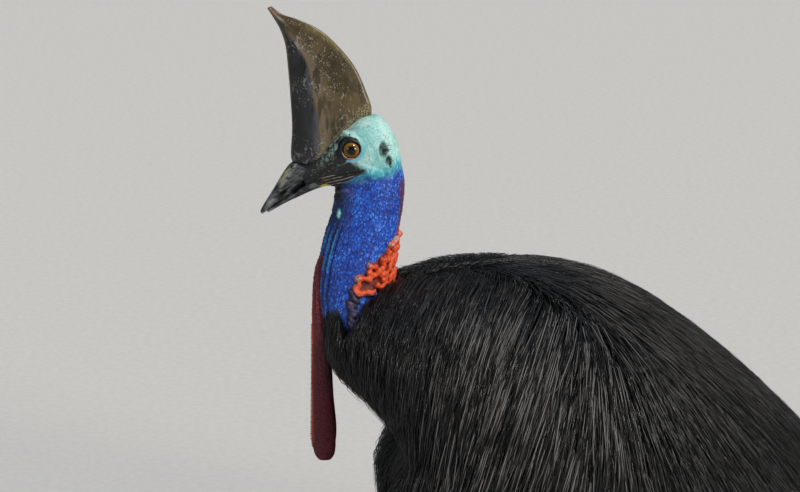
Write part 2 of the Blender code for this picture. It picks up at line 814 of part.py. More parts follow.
def turns_of(number, radius, first, last):
    """The degrees from the top at which the locks of a column grow. Every second column is set down by half a step."""
    step = math.degrees(LOCK_STEP / radius)
    turn = first + (0.5 * step if number % 2 else 0)
    turns = []
    while turn <= last:
        turns.append(turn)
        turn += step
    return turns


def body_starts(limits, first=-5):
    """Where the locks of the body grow, on both sides: a point on the core's outside, the side, the length."""
    starts = []
    for number, (x, last) in enumerate(columns_of(limits)):
        _, top, bottom, half_width = row_at(CORE_ROWS, x)
        for turn in turns_of(number, (half_width + (top - bottom) / 2) / 2, first, last):
            for side in SIDES.values():
                lean = math.radians(turn)
                y = side * half_width * math.sin(lean)
                z = (top + bottom) / 2 + (top - bottom) / 2 * math.cos(lean)
                starts.append((Vector((x, y, z)), side, LOCK_LENGTH * (0.72 if x < 0.02 else 1)))
    return starts


def leg_starts(side):
    starts = []
    for number, (x, last) in enumerate(columns_of(LEG_COLUMNS)):
        _, y, z, half_width, half_height = row_at(LEG_CORE_ROWS, x)
        for turn in turns_of(number, (half_width + half_height) / 2, 30 if x > 0.03 else -25, last):
            lean = math.radians(turn)
            place = (x, SIDES[side] * (y + half_width * math.sin(lean)), z + half_height * math.cos(lean))
            starts.append((Vector(place), SIDES[side], LOCK_LENGTH * 0.75))
    return starts


def make_wing(side, tree, material):
    rows = []
    for x, z, half_depth, half_height in WING_ROWS:
        place = beside(tree, side, x, z, 0.001)
        rows.append((*place, half_depth, half_height))
    wing = closed_loft("wing_" + side, tube_rings(rows, 10, (0, 0, 1)), material, 0.3)
    quills = []
    for start_x, start_z, end_x, end_z, bow, radius in QUILLS:
        rows = []
        for t, size in [(0, 1.0), (0.33, 1.0), (0.66, 0.8), (0.95, 0.4)]:
            x = start_x + (end_x - start_x) * t + bow * math.sin(math.pi * t)
            z = start_z + (end_z - start_z) * t
            place = beside(tree, side, x, z, 0.003 + 0.004 * math.sin(math.pi * min(t, 0.9)))
            rows.append((*place, radius * size, radius * size))
        quills.append(closed_loft("quill", tube_rings(rows, 5, (1, 0, 0)), material, 0.15))
    combine(wing, quills, "UNION")
    return wing


def main():
    clear_scene()
    materials = {
        "horn": finish_of("horn", (0.055, 0.042, 0.028), 0.35),
        "bill": finish_of("bill", (0.030, 0.032, 0.034), 0.4),
        "face": finish_of("face_skin", (0.35, 0.68, 0.66), 0.5),
        "neck": finish_of("neck_skin", (0.02, 0.10, 0.50), 0.5),
        "wattle": finish_of("wattle_skin", (0.20, 0.02, 0.04), 0.5),
        "fold": finish_of("fold_skin", (0.75, 0.13, 0.03), 0.45),
        "plumage": finish_of("plumage", (0.010, 0.010, 0.011), 0.5),
        "eye": finish_of("eye", (0.16, 0.06, 0.01), 0.05),
        "leg": finish_of("leg_scale", (0.16, 0.15, 0.12), 0.55),
        "claw": finish_of("claw", (0.035, 0.032, 0.030), 0.4),
        "quill": finish_of("quill", (0.030, 0.028, 0.026), 0.35),
    }
    neck = closed_loft("neck", neck_rings(NECK_ROWS, 20), materials["neck"])
    casque = make_casque(materials["horn"])
    upper = make_bill("bill_upper", BILL_UPPER_ROWS, materials["bill"], True)
    lower = make_bill("bill_lower", BILL_LOWER_ROWS, materials["bill"], False)
    combine(lower, grown([upper]), "DIFFERENCE")
    combine(casque, grown([upper]), "DIFFERENCE")
    eyes = [make_eye(side, materials["eye"]) for side in SIDES]
    head = make_head(materials, neck, casque, [upper, lower], eyes)
    combine(neck, [slab("above", Vector(THROAT_POINT) - Vector((0, 0, GAP)), THROAT_NORMAL, 0.5, 0.3)], "DIFFERENCE")
    wattles = [make_wattle(side, materials["wattle"]) for side in SIDES]
    for wattle in wattles:
        combine(wattle, grown([neck]), "DIFFERENCE")
    caruncle = make_caruncle(materials["fold"])
    combine(caruncle, grown([neck]), "DIFFERENCE")
    tarsi = {side: make_tarsus(side, materials["leg"]) for side in SIDES}
    for side, tarsus in tarsi.items():
        toes = []
        for name in ("middle", "inner", "outer"):
            toe = make_toe(side, name, tarsus, materials["leg"])
            if toes:
                combine(toe, grown(toes[:1]), "DIFFERENCE")
            toes.append(toe)
            make_claw(side, name, toe, materials["claw"])
    plumage = materials["plumage"]
    outer_body = closed_loft("outer", body_rings(BODY_ROWS, 28), plumage)
    on_floor(outer_body)
    outer_legs = [closed_loft("outer_leg", leg_rings(LEG_ROWS, side, 12), plumage) for side in SIDES]
    outer = plumage_tree([outer_body, *outer_legs])
    wings = [make_wing(side, outer, materials["quill"]) for side in SIDES]
    legs = []
    for side, outer_leg, tarsus, wing in zip(SIDES, outer_legs, tarsi.values(), wings):
        leg = closed_loft("thigh_" + side, leg_rings(LEG_CORE_ROWS, side, 12), plumage)
        on_floor(leg, FLOOR_CLEAR)
        guide = closed_loft("guide", leg_rings(smooth_rows(LEG_CORE_ROWS, 3), side, 40), plumage)
        tree = plumage_tree([guide])
        remove(guide)
        room = CORE_INSET * 0.8 - LOCK_THICKNESS
        grow_locks(leg, tree, leg_starts(side), room, -1, [], [further_out(outer_leg, 0.008)])
        combine(leg, grown([outer_leg], 0), "INTERSECT")
        combine(leg, grown([tarsus, wing]), "DIFFERENCE")
        legs.append(leg)
    torso = closed_loft("torso", body_rings(CORE_ROWS, 26), plumage)
    on_floor(torso)
    tail = bpy.data.objects.new("tail", torso.data.copy())
    bpy.context.scene.collection.objects.link(tail)
    guide = closed_loft("guide", body_rings(smooth_rows(CORE_ROWS, 3), 60), plumage)
    tree = plumage_tree([guide])
    remove(guide)
    lean = math.radians(TAIL_LEAN)
    behind = Vector((math.cos(lean), 0, math.sin(lean)))
    tail_point = Vector(TAIL_POINT)
    room = CORE_INSET - LOCK_THICKNESS
    covers = [plumage_tree([outer_leg]) for outer_leg in outer_legs]
    around = [within(neck, 0.002, 0.060)]
    around += [within(piece, 0.004, 0.008) for piece in (caruncle, *wattles, *wings)]
    around.append(further_out(outer_body, 0.035))
    breast = further_out(outer_body, 0.010)
    around.append(lambda p: p.x < BREAST_END and breast(p))
    ends = lambda p: (p - tail_point).dot(behind) > -0.004
    starts = body_starts(TORSO_COLUMNS) + body_starts(BELLY_COLUMNS, BELLY_FROM)
    grow_locks(torso, tree, starts, room, BREAST_END, covers, [*around, ends])
    begins = lambda p: (p - tail_point).dot(behind) < 0.004
    grow_locks(tail, tree, body_starts(TAIL_COLUMNS), room, BREAST_END, covers, [*around, begins])
    combine(torso, [slab("behind", tail_point, behind, 2, 0.6)], "DIFFERENCE")
    around = grown([neck, caruncle, *wattles, *tarsi.values(), *wings])
    around += grown(outer_legs, GAP * 2)
    combine(torso, around, "DIFFERENCE")
    combine(tail, [slab("ahead", tail_point + behind * GAP, -behind, 2, 0.8)], "DIFFERENCE")
    combine(tail, grown([*tarsi.values()]) + grown(outer_legs, GAP * 2), "DIFFERENCE")
    for form in [outer_body, *outer_legs]:
        remove(form)
    for obj in (head, caruncle, torso, tail, *legs):
        lighten(obj, 2.5)
    for obj in bpy.data.objects:
        obj.data.transform(Matrix.Translation((-MIDDLE_X, 0, 0)))


main()
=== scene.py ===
import math

import bmesh
import bpy
import numpy as np
from mathutils import Matrix, Vector, noise
from mathutils.bvhtree import BVHTree


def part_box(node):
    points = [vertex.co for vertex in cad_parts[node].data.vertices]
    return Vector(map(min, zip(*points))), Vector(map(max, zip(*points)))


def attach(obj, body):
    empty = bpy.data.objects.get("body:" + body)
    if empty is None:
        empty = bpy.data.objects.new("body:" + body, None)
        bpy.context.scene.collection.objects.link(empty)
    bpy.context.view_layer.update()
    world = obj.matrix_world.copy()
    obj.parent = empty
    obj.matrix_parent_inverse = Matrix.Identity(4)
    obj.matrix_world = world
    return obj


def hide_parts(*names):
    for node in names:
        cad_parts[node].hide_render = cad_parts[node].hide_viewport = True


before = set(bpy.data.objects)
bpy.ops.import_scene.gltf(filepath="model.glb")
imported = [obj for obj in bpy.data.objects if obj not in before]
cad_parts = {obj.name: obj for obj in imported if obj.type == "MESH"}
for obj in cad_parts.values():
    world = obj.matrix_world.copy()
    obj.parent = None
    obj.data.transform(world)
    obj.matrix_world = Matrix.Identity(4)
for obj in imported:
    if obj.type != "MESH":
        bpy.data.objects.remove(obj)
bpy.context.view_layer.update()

# A cassowary resting on the floor. Sizes are in metres. Rows are laid out from a point ahead of the frame's
# middle, with x to the tail. The eye's place gives shiftX, which moves each finished mesh into the frame.
eyeSizes = {
    "x": -0.0575, "y": 0.0225, "z": 0.636, "ball": 0.0140, "iris": 0.0096, "pupil": 0.0043, "bulge": 0.0011,
}
lowEye, highEye = (Vector(corner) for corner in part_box("eye_left"))
shiftX = (lowEye.x + highEye.x) / 2 - eyeSizes["x"]
sides = {"left": -1, "right": 1}


def smoothStep(low, high, value):
    share = np.clip((value - low) / (high - low), 0, 1)
    return share * share * (3 - 2 * share)


def smoothRows(rows, steps):
    # a smooth curve through all the rows, with steps - 1 new rows between each two
    rows = np.array(rows, dtype=float)
    padded = np.vstack([rows[:1], rows, rows[-1:]])
    found = []
    for a, b, c, d in zip(padded, padded[1:], padded[2:], padded[3:]):
        for t in np.arange(steps) / steps:
            square, cube = 2 * a - 5 * b + 4 * c - d, 3 * b - a - 3 * c + d
            found.append(0.5 * (2 * b + (c - a) * t + square * t**2 + cube * t**3))
    return found + [rows[-1]]


def columnAt(rows, key, column):
    # a column's value between the rows of a table that is sorted by its first column
    rows = np.array(rows, dtype=float)
    order = np.argsort(rows[:, 0])
    return np.interp(key, rows[order, 0], rows[order, column])


# Shapes are lofted: a circle is laid out at each row, and each is bridged to the next
def tubeRows(rows, upHint):
    # rows of x, y, z, half width, half height
    laid = []
    for i, row in enumerate(rows):
        along = Vector(rows[min(i + 1, len(rows) - 1)][:3]) - Vector(rows[max(i - 1, 0)][:3])
        along.normalize()
        up = Vector(upHint)
        up = (up - along * up.dot(along)).normalized()
        laid.append((Vector(row[:3]), along.cross(up) * row[3], up * row[4]))
    return laid


def bladeRows(rows):
    # rows of top x, top z, bottom x, bottom z, half width
    laid = []
    for topX, topZ, bottomX, bottomZ, halfWidth in rows:
        top, bottom = Vector((topX, 0, topZ)), Vector((bottomX, 0, bottomZ))
        laid.append(((top + bottom) / 2, Vector((0, halfWidth, 0)), (top - bottom) / 2))
    return laid


def neckRows(rows):
    return tubeRows([(x, 0, z, halfWidth, halfDepth) for x, z, halfDepth, halfWidth in rows], (1, 0, 0))


def bodyRows(rows):
    return [
        (Vector((x, 0, (top + bottom) / 2)), Vector((0, halfWidth, 0)), Vector((0, 0, (top - bottom) / 2)))
        for x, top, bottom, halfWidth in rows
    ]


def ringEdges(ring):
    members = set(ring)
    return list({e for v in ring for e in v.link_edges if e.other_vert(v) in members})


def loftInto(mesh, laid, sideCount, square=1.0, roundness=0.3, outline=None):
    rings = []
    for centre, across, up in laid:
        ring = bmesh.ops.create_circle(mesh, cap_ends=False, segments=sideCount, radius=1)["verts"]
        for vertex in ring:
            c, s = vertex.co.x, vertex.co.y
            if outline:
                c, s = outline(c, s)
            c = math.copysign(abs(c) ** square, c)
            s = math.copysign(abs(s) ** square, s)
            vertex.co = centre + across * c + up * s
        rings.append(ring)
    for near, far in zip(rings, rings[1:]):
        bmesh.ops.bridge_loops(mesh, edges=ringEdges(near) + ringEdges(far))
    for ring, here, inner in ((rings[0], laid[0], laid[1]), (rings[-1], laid[-1], laid[-2])):
        cap = bmesh.ops.contextual_create(mesh, geom=ring)["faces"]
        pole = bmesh.ops.poke(mesh, faces=cap)["verts"][0]
        pole.co = here[0] + (here[0] - inner[0]) * roundness


def outwards(mesh):
    bmesh.ops.recalc_face_normals(mesh, faces=mesh.faces)
    return mesh


def keptAbove(mesh, clear):
    for vertex in mesh.verts:
        vertex.co.z = max(vertex.co.z, clear)


def lofted(laid, sideCount, **shape):
    mesh = bmesh.new()
    loftInto(mesh, laid, sideCount, **shape)
    return outwards(mesh)


def ballInto(mesh, place, radii, turn=0.0, segments=16):
    rings = segments // 2 + 1
    made = bmesh.ops.create_uvsphere(mesh, u_segments=segments, v_segments=rings, radius=1)["verts"]
    bmesh.ops.scale(mesh, vec=radii, verts=made)
    matrix = Matrix.Translation(place) @ Matrix.Rotation(turn, 4, "Y")
    bmesh.ops.transform(mesh, matrix=matrix, verts=made)


def linked(name, mesh):
    data = bpy.data.meshes.new(name)
    mesh.to_mesh(data)
    mesh.free()
    obj = bpy.data.objects.new(name, data)
    bpy.context.scene.collection.objects.link(obj)
    return obj


def removed(obj):
    bpy.data.objects.remove(obj, do_unlink=True)


def applied(obj):
    # leaves obj with the mesh that its modifiers make
    bpy.context.view_layer.update()
    graph = bpy.context.evaluated_depsgraph_get()
    data = bpy.data.meshes.new_from_object(obj.evaluated_get(graph))
    obj.modifiers.clear()
    obj.data = data
    return obj


def remeshed(obj, voxel):
    modifier = obj.modifiers.new("voxels", "REMESH")
    modifier.mode = "VOXEL"
    modifier.voxel_size = voxel
    return applied(obj)


def combined(obj, others, operation):
    group = bpy.data.collections.new("operands")
    bpy.context.scene.collection.children.link(group)
    for other in others:
        group.objects.link(other)
    modifier = obj.modifiers.new("join", "BOOLEAN")
    modifier.operation = operation
    modifier.operand_type = "COLLECTION"
    modifier.collection = group
    modifier.solver = "MANIFOLD"
    applied(obj)
    for other in others:
        removed(other)
    bpy.data.collections.remove(group)
    return obj


def pointsOf(obj):
    points = np.empty(len(obj.data.vertices) * 3)
    obj.data.vertices.foreach_get("co", points)
    return points.reshape(-1, 3)


def normalsOf(obj):
    normals = np.empty(len(obj.data.vertices) * 3)
    obj.data.vertex_normals.foreach_get("vector", normals)
    return normals.reshape(-1, 3)


def setPoints(obj, points):
    obj.data.vertices.foreach_set("co", points.ravel())
    obj.data.update()


def attributeOn(obj, name, values):
    layer = obj.data.attributes.new(name, "FLOAT", "POINT")
    layer.data.foreach_set("value", np.asarray(values, dtype=np.float32))


def handedIn(obj, material, slot, *nodes):
    # moves a finished mesh into the frame, where it rides on the bird's one body
    obj.data.transform(Matrix.Translation((shiftX, 0, 0)))
    obj.data.materials.clear()
    obj.data.materials.append(material)
    obj.data.shade_smooth()
    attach(obj, "root")
    if nodes:
        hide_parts(*nodes)
    return obj


# Shader maths
class Value:
    # wraps a socket, so that sums of masks are written as sums
    def __init__(self, finish, socket):
        self.finish, self.socket = finish, socket

    def withOther(self, operation, other, swapped=False):
        first, second = (other, self) if swapped else (self, other)
        return self.finish.maths(operation, first, second)

    def __add__(self, other):
        return self.withOther("ADD", other)

    def __radd__(self, other):
        return self.withOther("ADD", other, True)

    def __sub__(self, other):
        return self.withOther("SUBTRACT", other)

    def __rsub__(self, other):
        return self.withOther("SUBTRACT", other, True)

    def __mul__(self, other):
        return self.withOther("MULTIPLY", other)

    def __rmul__(self, other):
        return self.withOther("MULTIPLY", other, True)


class Finish:
    # builds the nodes of one material. Its point is a place in the bird's own sizes, and its colour is
    # the paint so far
    def __init__(self, name, **constants):
        self.material = bpy.data.materials.new(name)
        self.material.use_nodes = True
        self.nodes = self.material.node_tree.nodes
        self.links = self.material.node_tree.links
        self.shader = self.nodes["Principled BSDF"]
        for socket, value in constants.items():
            self.shader.inputs[socket.replace("_", " ")].default_value = value
        coordinates = self.node("ShaderNodeTexCoord", output="Object")
        self.point = self.vector("SUBTRACT", coordinates, (shiftX, 0, 0))
        apart = self.node("ShaderNodeSeparateXYZ", inputs={0: self.point})
        self.x, self.y, self.z = (Value(self, apart.socket.node.outputs[k]) for k in range(3))
        self.outward = self.maths("ABSOLUTE", self.y)
        self.colour = None

    def node(self, kind, settings=None, inputs=None, output=0):
        made = self.nodes.new(kind)
        for key, value in (settings or {}).items():
            setattr(made, key, value)
        for key, value in (inputs or {}).items():
            self.feed(made.inputs[key], value)
        return Value(self, made.outputs[output])

    def feed(self, socket, value):
        if isinstance(value, Value):
            self.links.new(value.socket, socket)
        elif isinstance(value, tuple) and len(value) == 3 and len(socket.default_value) == 4:
            socket.default_value = (*value, 1)
        else:
            socket.default_value = value

    def maths(self, operation, *values):
        return self.node("ShaderNodeMath", {"operation": operation}, dict(enumerate(values)))

    def vector(self, operation, first, second):
        return self.node("ShaderNodeVectorMath", {"operation": operation}, {0: first, 1: second})

    def between(self, value, low, high):
        # 0 below low and 1 above high, or the other way round where low is the larger
        inputs = {"Value": value, "From Min": low, "From Max": high}
        return self.node("ShaderNodeMapRange", {"interpolation_type": "SMOOTHSTEP"}, inputs)

    def band(self, value, outerLow, low, high, outerHigh):
        # 1 from low to high, fading to 0 at the outer values
        return self.between(value, outerLow, low) * self.between(value, outerHigh, high)

    def spot(self, centre, radii, inner=0.6, outer=1.0):
        # 1 inside a soft ellipsoid, the same on both sides of the bird
        place = self.node("ShaderNodeCombineXYZ", inputs={0: self.x, 1: self.outward, 2: self.z})
        place = self.vector("DIVIDE", self.vector("SUBTRACT", place, centre), radii)
        away = self.node("ShaderNodeVectorMath", {"operation": "LENGTH"}, {0: place}, "Value")
        return self.between(away, outer, inner)

    def line(self, start, end):
        # how far above the line through two points of x and z a place lies
        (x0, z0), (x1, z1) = start, end
        length = math.hypot(x1 - x0, z1 - z0)
        return (self.x - x0) * ((z1 - z0) / -length) + (self.z - z0) * ((x1 - x0) / length)

    def attribute(self, name):
        return self.node("ShaderNodeAttribute", {"attribute_name": name}, output="Fac")

    def noise(self, scale, detail=4.0, stretch=(1, 1, 1), distortion=0.0):
        place = self.vector("MULTIPLY", self.point, stretch)
        inputs = {"Vector": place, "Scale": scale, "Detail": detail, "Distortion": distortion}
        return self.node("ShaderNodeTexNoise", inputs=inputs)

    def cells(self, scale, stretch=(1, 1, 1)):
        place = self.vector("MULTIPLY", self.point, stretch)
        return self.node("ShaderNodeTexVoronoi", inputs={"Vector": place, "Scale": scale})

    def mix(self, first, second, share):
        return self.node("ShaderNodeMix", {"data_type": "RGBA"}, {0: share, 6: first, 7: second}, 2)

    def paint(self, colour, share):
        # lays a colour over the paint so far
        self.colour = self.mix(self.colour, colour, share)

    def bump(self, height, distance, strength):
        inputs = {"Height": height, "Distance": distance, "Strength": strength}
        return self.node("ShaderNodeBump", inputs=inputs)

    def wear(self, roughness=None, normal=None):
        for socket, value in (("Base Color", self.colour), ("Roughness", roughness), ("Normal", normal)):
            if value is not None:
                self.feed(self.shader.inputs[socket], value)
        return self.material


# The forms of the bird, row by row
neckForm = [  # x, z, half depth from front to back, half width
    (-0.034, 0.628, 0.0315, 0.026), (-0.0352, 0.600, 0.0400, 0.030), (-0.0365, 0.575, 0.0415, 0.031),
    (-0.041, 0.545, 0.0415, 0.032), (-0.049, 0.515, 0.0430, 0.034), (-0.054, 0.485, 0.0440, 0.038),
    (-0.055, 0.455, 0.0450, 0.044), (-0.048, 0.425, 0.0470, 0.052), (-0.030, 0.395, 0.0480, 0.058),
    (-0.006, 0.372, 0.0400, 0.052),
]
headForm = [  # top x, top z, bottom x, bottom z, half width
    (-0.003, 0.640, 0.002, 0.612, 0.013), (-0.012, 0.657, -0.004, 0.594, 0.026),
    (-0.026, 0.671, -0.022, 0.586, 0.0335), (-0.046, 0.670, -0.044, 0.583, 0.0345),
    (-0.066, 0.656, -0.066, 0.583, 0.0330), (-0.086, 0.640, -0.084, 0.586, 0.0255),
    (-0.104, 0.625, -0.098, 0.586, 0.0190), (-0.120, 0.610, -0.110, 0.582, 0.0145),
]
bodyForm = [  # x, top z, bottom z, half width, at the tips of the plumage
    (-0.092, 0.412, 0.384, 0.024), (-0.080, 0.428, 0.362, 0.066), (-0.055, 0.450, 0.335, 0.112),
    (-0.020, 0.470, 0.300, 0.155), (0.025, 0.490, 0.215, 0.194), (0.080, 0.500, 0.090, 0.226),
    (0.130, 0.501, 0.010, 0.238), (0.180, 0.497, -0.012, 0.245), (0.240, 0.482, -0.014, 0.246),
    (0.310, 0.446, -0.014, 0.236), (0.380, 0.393, -0.010, 0.214), (0.450, 0.331, 0.002, 0.180),
    (0.520, 0.258, 0.008, 0.136), (0.580, 0.188, 0.010, 0.092), (0.625, 0.122, 0.012, 0.052),
    (0.655, 0.068, 0.018, 0.020),
]
legForm = [  # x, y, z, half width, half height, at the tips of the plumage
    (-0.014, 0.138, 0.238, 0.030, 0.040), (0.002, 0.146, 0.228, 0.066, 0.086),
    (0.050, 0.152, 0.206, 0.094, 0.126), (0.130, 0.154, 0.168, 0.098, 0.132),
    (0.210, 0.150, 0.122, 0.084, 0.110), (0.280, 0.142, 0.084, 0.066, 0.080),
    (0.335, 0.134, 0.060, 0.048, 0.054), (0.372, 0.126, 0.048, 0.024, 0.030),
]
coreInset = 0.027  # how far the skin lies under the tips of the plumage


# Skin
skinSizes = {
    "voxel": 0.00135, "bodyVoxel": 0.009, "legVoxel": 0.0026, "markReach": 0.0030, "legReach": 0.0040,
    "lidRadius": 0.0117, "lidThickness": 0.0021, "lidOut": 0.0090,
    "pebble": 0.0031, "pebbleDepth": 0.0005,
    "floorClear": 0.0004, "bellyClear": 0.006,
}
wattleForm = [  # x, y, z, half width from front to back, half thickness
    (-0.0925, 0.007, 0.500, 0.0032, 0.0040), (-0.0980, 0.011, 0.478, 0.0042, 0.0050),
    (-0.0998, 0.017, 0.440, 0.0056, 0.0052), (-0.0955, 0.021, 0.400, 0.0104, 0.0046),
    (-0.0942, 0.023, 0.355, 0.0120, 0.0044), (-0.0935, 0.025, 0.315, 0.0132, 0.0048),
    (-0.0922, 0.025, 0.280, 0.0150, 0.0052), (-0.0912, 0.025, 0.259, 0.0130, 0.0048),
    (-0.0910, 0.025, 0.250, 0.0070, 0.0036),
]
tarsusForm = [  # x, y, z, half width, half height
    (0.362, 0.124, 0.032, 0.020, 0.022), (0.335, 0.124, 0.025, 0.024, 0.0262),
    (0.290, 0.123, 0.0210, 0.0205, 0.0235), (0.200, 0.120, 0.0175, 0.0175, 0.0205),
    (0.100, 0.117, 0.0165, 0.0175, 0.0195), (0.040, 0.115, 0.0172, 0.0205, 0.0205),
    (0.010, 0.114, 0.0170, 0.0240, 0.0200), (-0.010, 0.113, 0.0155, 0.0200, 0.0165),
]
toeForm = {  # degrees outward from straight ahead, length, half thickness, claw length
    "inner": (-24, 0.078, 0.0145, 0.105),
    "middle": (2, 0.150, 0.0165, 0.046),
    "outer": (27, 0.104, 0.0135, 0.036),
}
toeRoot = {"x": 0.004, "y": 0.114}
# length and rise of each plate, and the share of its form's size that the mesh keeps
plates = {"leg": (0.0085, 0.035), "toe": (0.0058, 0.05), "inset": 0.985}
toeProfile = [  # share of the length, and half thickness as a share
    (0.00, 0.98), (0.26, 0.88), (0.42, 0.98), (0.58, 0.80), (0.72, 0.92), (0.88, 0.72), (1.0, 0.52),
]

foldSizes = {
    "seed": 11, "radius": 0.0035, "top": 0.529, "bottom": 0.4625, "halfWidth": 0.068, "out": 0.0026,
    "tries": 3000, "steps": 13, "step": 0.0028, "turns": (0.0, 0.35, 0.7, 1.1, -0.5, -1.0), "fewest": 4,
    "startRoom": 1.66, "room": 1.72, "enough": 2.1,
}
purpleSizes = {"count": 9, "top": 0.462, "apart": 0.0060, "radius": 0.0031, "slant": 0.0030}
beadSizes = {"radius": 0.00125, "gap": 0.0030, "top": 0.420, "bottom": 0.268}
dropPlace = (-0.0728, 0.0185, 0.5560)
faceForms = [  # place, radii, lean and segments of the cheek, the brow, the fold under the jaw and the drop
    ((-0.040, 0.0225, 0.612), (0.026, 0.0130, 0.017), 0.35, 16),
    ((-0.056, 0.0240, 0.6490), (0.015, 0.0085, 0.0060), 0.55, 16),
    ((-0.0640, 0.0150, 0.5835), (0.0125, 0.0115, 0.0052), 0.05, 16),
    (dropPlace, (0.0027, 0.0032, 0.0066), 0.10, 10),
]
gape = {
    "corner": (-0.0427, 0.6110), "bill": (-0.1010, 0.5905), "sag": 0.0022, "depth": 0.0019,
    "halfHeight": 0.0011, "ridges": 0.0042, "ridgeDepth": 0.0007,
}
ears = [(-0.0204, 0.6360, 0.0036, 0.0075), (-0.0137, 0.6224, 0.0026, 0.0050)]  # x, z, half width, half height
earSizes = {"depth": 0.0042, "rim": 0.0008}
furrows = {"depth": 0.0012, "degrees": 11}
crinkles = {"depth": 0.0004, "apart": 0.0040}


def neckAt(z):
    levels = [(-row[1], row[0], row[2], row[3]) for row in neckForm]
    return tuple(columnAt(levels, -z, k) for k in (1, 2, 3))


def onNeck(turn, z, out):
    # a point this far outside the neck, turned from its back
    x, halfDepth, halfWidth = neckAt(z)
    return Vector((x + (halfDepth + out) * math.cos(turn), (halfWidth + out) * math.sin(turn), z))


def napePatch(across, z):
    # how far inside the patch of folds a place on the unrolled nape is
    share = (foldSizes["top"] - z) / (foldSizes["top"] - foldSizes["bottom"])
    share = np.clip(share, -0.01, 1.01)
    halfWidth = 0.001 + foldSizes["halfWidth"] * share * (1.55 - 0.55 * share)
    return np.where((share >= 0) & (share <= 1), halfWidth - np.abs(across), -1.0)


def foldTubes():
    # the folds of the nape wander across it like worms, each clear of those before it
    random = np.random.default_rng(foldSizes["seed"])
    radius = foldSizes["radius"]
    mesh = bmesh.new()
    laid = np.empty((0, 2))

    def room(place, own=()):
        # how far a place on the unrolled nape is from the other folds, under 0 beyond the nape's patch
        across, z = place
        if napePatch(across, z) < 0:
            return -1
        others = np.vstack([laid, *own[:-3]]) if len(own) > 3 else laid
        return np.hypot(*(others - place).T).min() if len(others) else 1

    for _ in range(foldSizes["tries"]):
        across = random.uniform(-1, 1) * foldSizes["halfWidth"]
        start = (across, random.uniform(foldSizes["bottom"], foldSizes["top"]))
        if room(start) < radius * foldSizes["startRoom"]:
            continue
        heading, worm = random.uniform(0, math.tau), [np.array(start)]
        bend = random.choice([-1, 1])
        for _ in range(foldSizes["steps"]):
            choices = []
            for turn in foldSizes["turns"]:
                way = heading + bend * turn
                ahead = worm[-1] + foldSizes["step"] * np.array([math.cos(way), math.sin(way)])
                clear = min(room(ahead, worm), radius * foldSizes["enough"]) + random.uniform(0, 0.0009)
                choices.append((clear, way, ahead))
            clear, way, ahead = max(choices, key=lambda choice: choice[0])
            if clear < radius * foldSizes["room"]:
                break
            heading = way
            worm.append(ahead)
        if len(worm) < foldSizes["fewest"]:
            continue
        laid = np.vstack([laid, *worm])
        rows = []
        for k, (across, z) in enumerate(smoothRows(worm, 2)):
            size = radius * (0.95 + 0.14 * math.sin(k * 0.9 + len(laid)))
            out = foldSizes["out"] + 0.0008 * math.sin(k * 0.5 + len(laid))
            rows.append((*onNeck(across / neckAt(z)[2], z, out), size, size))
        loftInto(mesh, tubeRows(rows, onNeck(0, 0.5, 0.3)), 10, roundness=0.9)
    return outwards(mesh)


def purpleFolds():
    # grey and purple folds run down from the nape, between two strips of blue
    mesh = bmesh.new()
    for side in sides.values():
        for k in range(purpleSizes["count"]):
            z = purpleSizes["top"] - purpleSizes["apart"] * k
            middle = 90 + 1.7 * k - 2 * math.sin(k * 1.9)
            rows = []
            for step in np.linspace(-1, 1, 7):
                turn = side * math.radians(middle + step * (5.4 - 0.25 * k))
                size = purpleSizes["radius"] * (1 - 0.45 * abs(step) ** 3)
                drop = purpleSizes["slant"] * step + 0.0010 * math.sin(k * 2.3 + step * 2)
                rows.append((*onNeck(turn, z + drop, 0.0008), size, size * 0.85))
            loftInto(mesh, tubeRows(rows, (0, 0, 1)), 10, roundness=0.8)
    return outwards(mesh)


def wattleMesh(side):
    rows = [(x, sides[side] * y, z, t, w) for x, y, z, w, t in smoothRows(wattleForm, 6)]
    return lofted(tubeRows(rows, (1, 0, 0)), 20, roundness=0.6)


def edgeBeads():
    # small beads stand in a row down the front edge of each wattle
    mesh = bmesh.new()
    levels = [(-row[2], *row) for row in wattleForm]
    for side in sides.values():
        for k, z in enumerate(np.arange(beadSizes["bottom"], beadSizes["top"], beadSizes["gap"])):
            x, y, wide = (columnAt(levels, -z, column) for column in (1, 2, 4))
            size = beadSizes["radius"] * (1 + 0.15 * math.sin(k * 2.7))
            ballInto(mesh, (x - wide - 0.0002, side * y, z), (size, size, size), 0, 8)
    return linked("edgeBeads", outwards(mesh))


def lidInto(mesh, side):
    # a ring of lid round the eye, higher above it than below
    rows = []
    for k in range(25):
        turn = math.tau * k / 24
        upper = max(math.sin(turn), 0)
        radius = skinSizes["lidRadius"] + 0.0004 * upper
        size = skinSizes["lidThickness"] * (1 + 0.25 * upper)
        x = eyeSizes["x"] + radius * 1.03 * math.cos(turn)
        z = eyeSizes["z"] + radius * 0.97 * math.sin(turn)
        rows.append((x, side * (eyeSizes["y"] + skinSizes["lidOut"]), z, size, size * 1.5))
    loftInto(mesh, tubeRows(rows, (0, 1, 0)), 10)


def headMesh():
    mesh = bmesh.new()
    loftInto(mesh, bladeRows(smoothRows(headForm, 5)), 40, square=0.95)
    loftInto(mesh, neckRows(smoothRows(neckForm, 5)), 48)
    for side in sides.values():
        lidInto(mesh, side)
        for (x, y, z), radii, lean, segments in faceForms:
            ballInto(mesh, (x, side * y, z), radii, lean, segments)
    return outwards(mesh)


def toeStart(side, angle):
    turn = math.radians(angle)
    way = Vector((-math.cos(turn), sides[side] * math.sin(turn), 0))
    return Vector((toeRoot["x"], sides[side] * toeRoot["y"], 0)), way


def plateAt(place, kind):
    # each plate is highest where it starts, and slopes down to the next
    length, rise = plates[kind]
    return 1 + rise * (1 - ((place / length) % 1) ** 2)


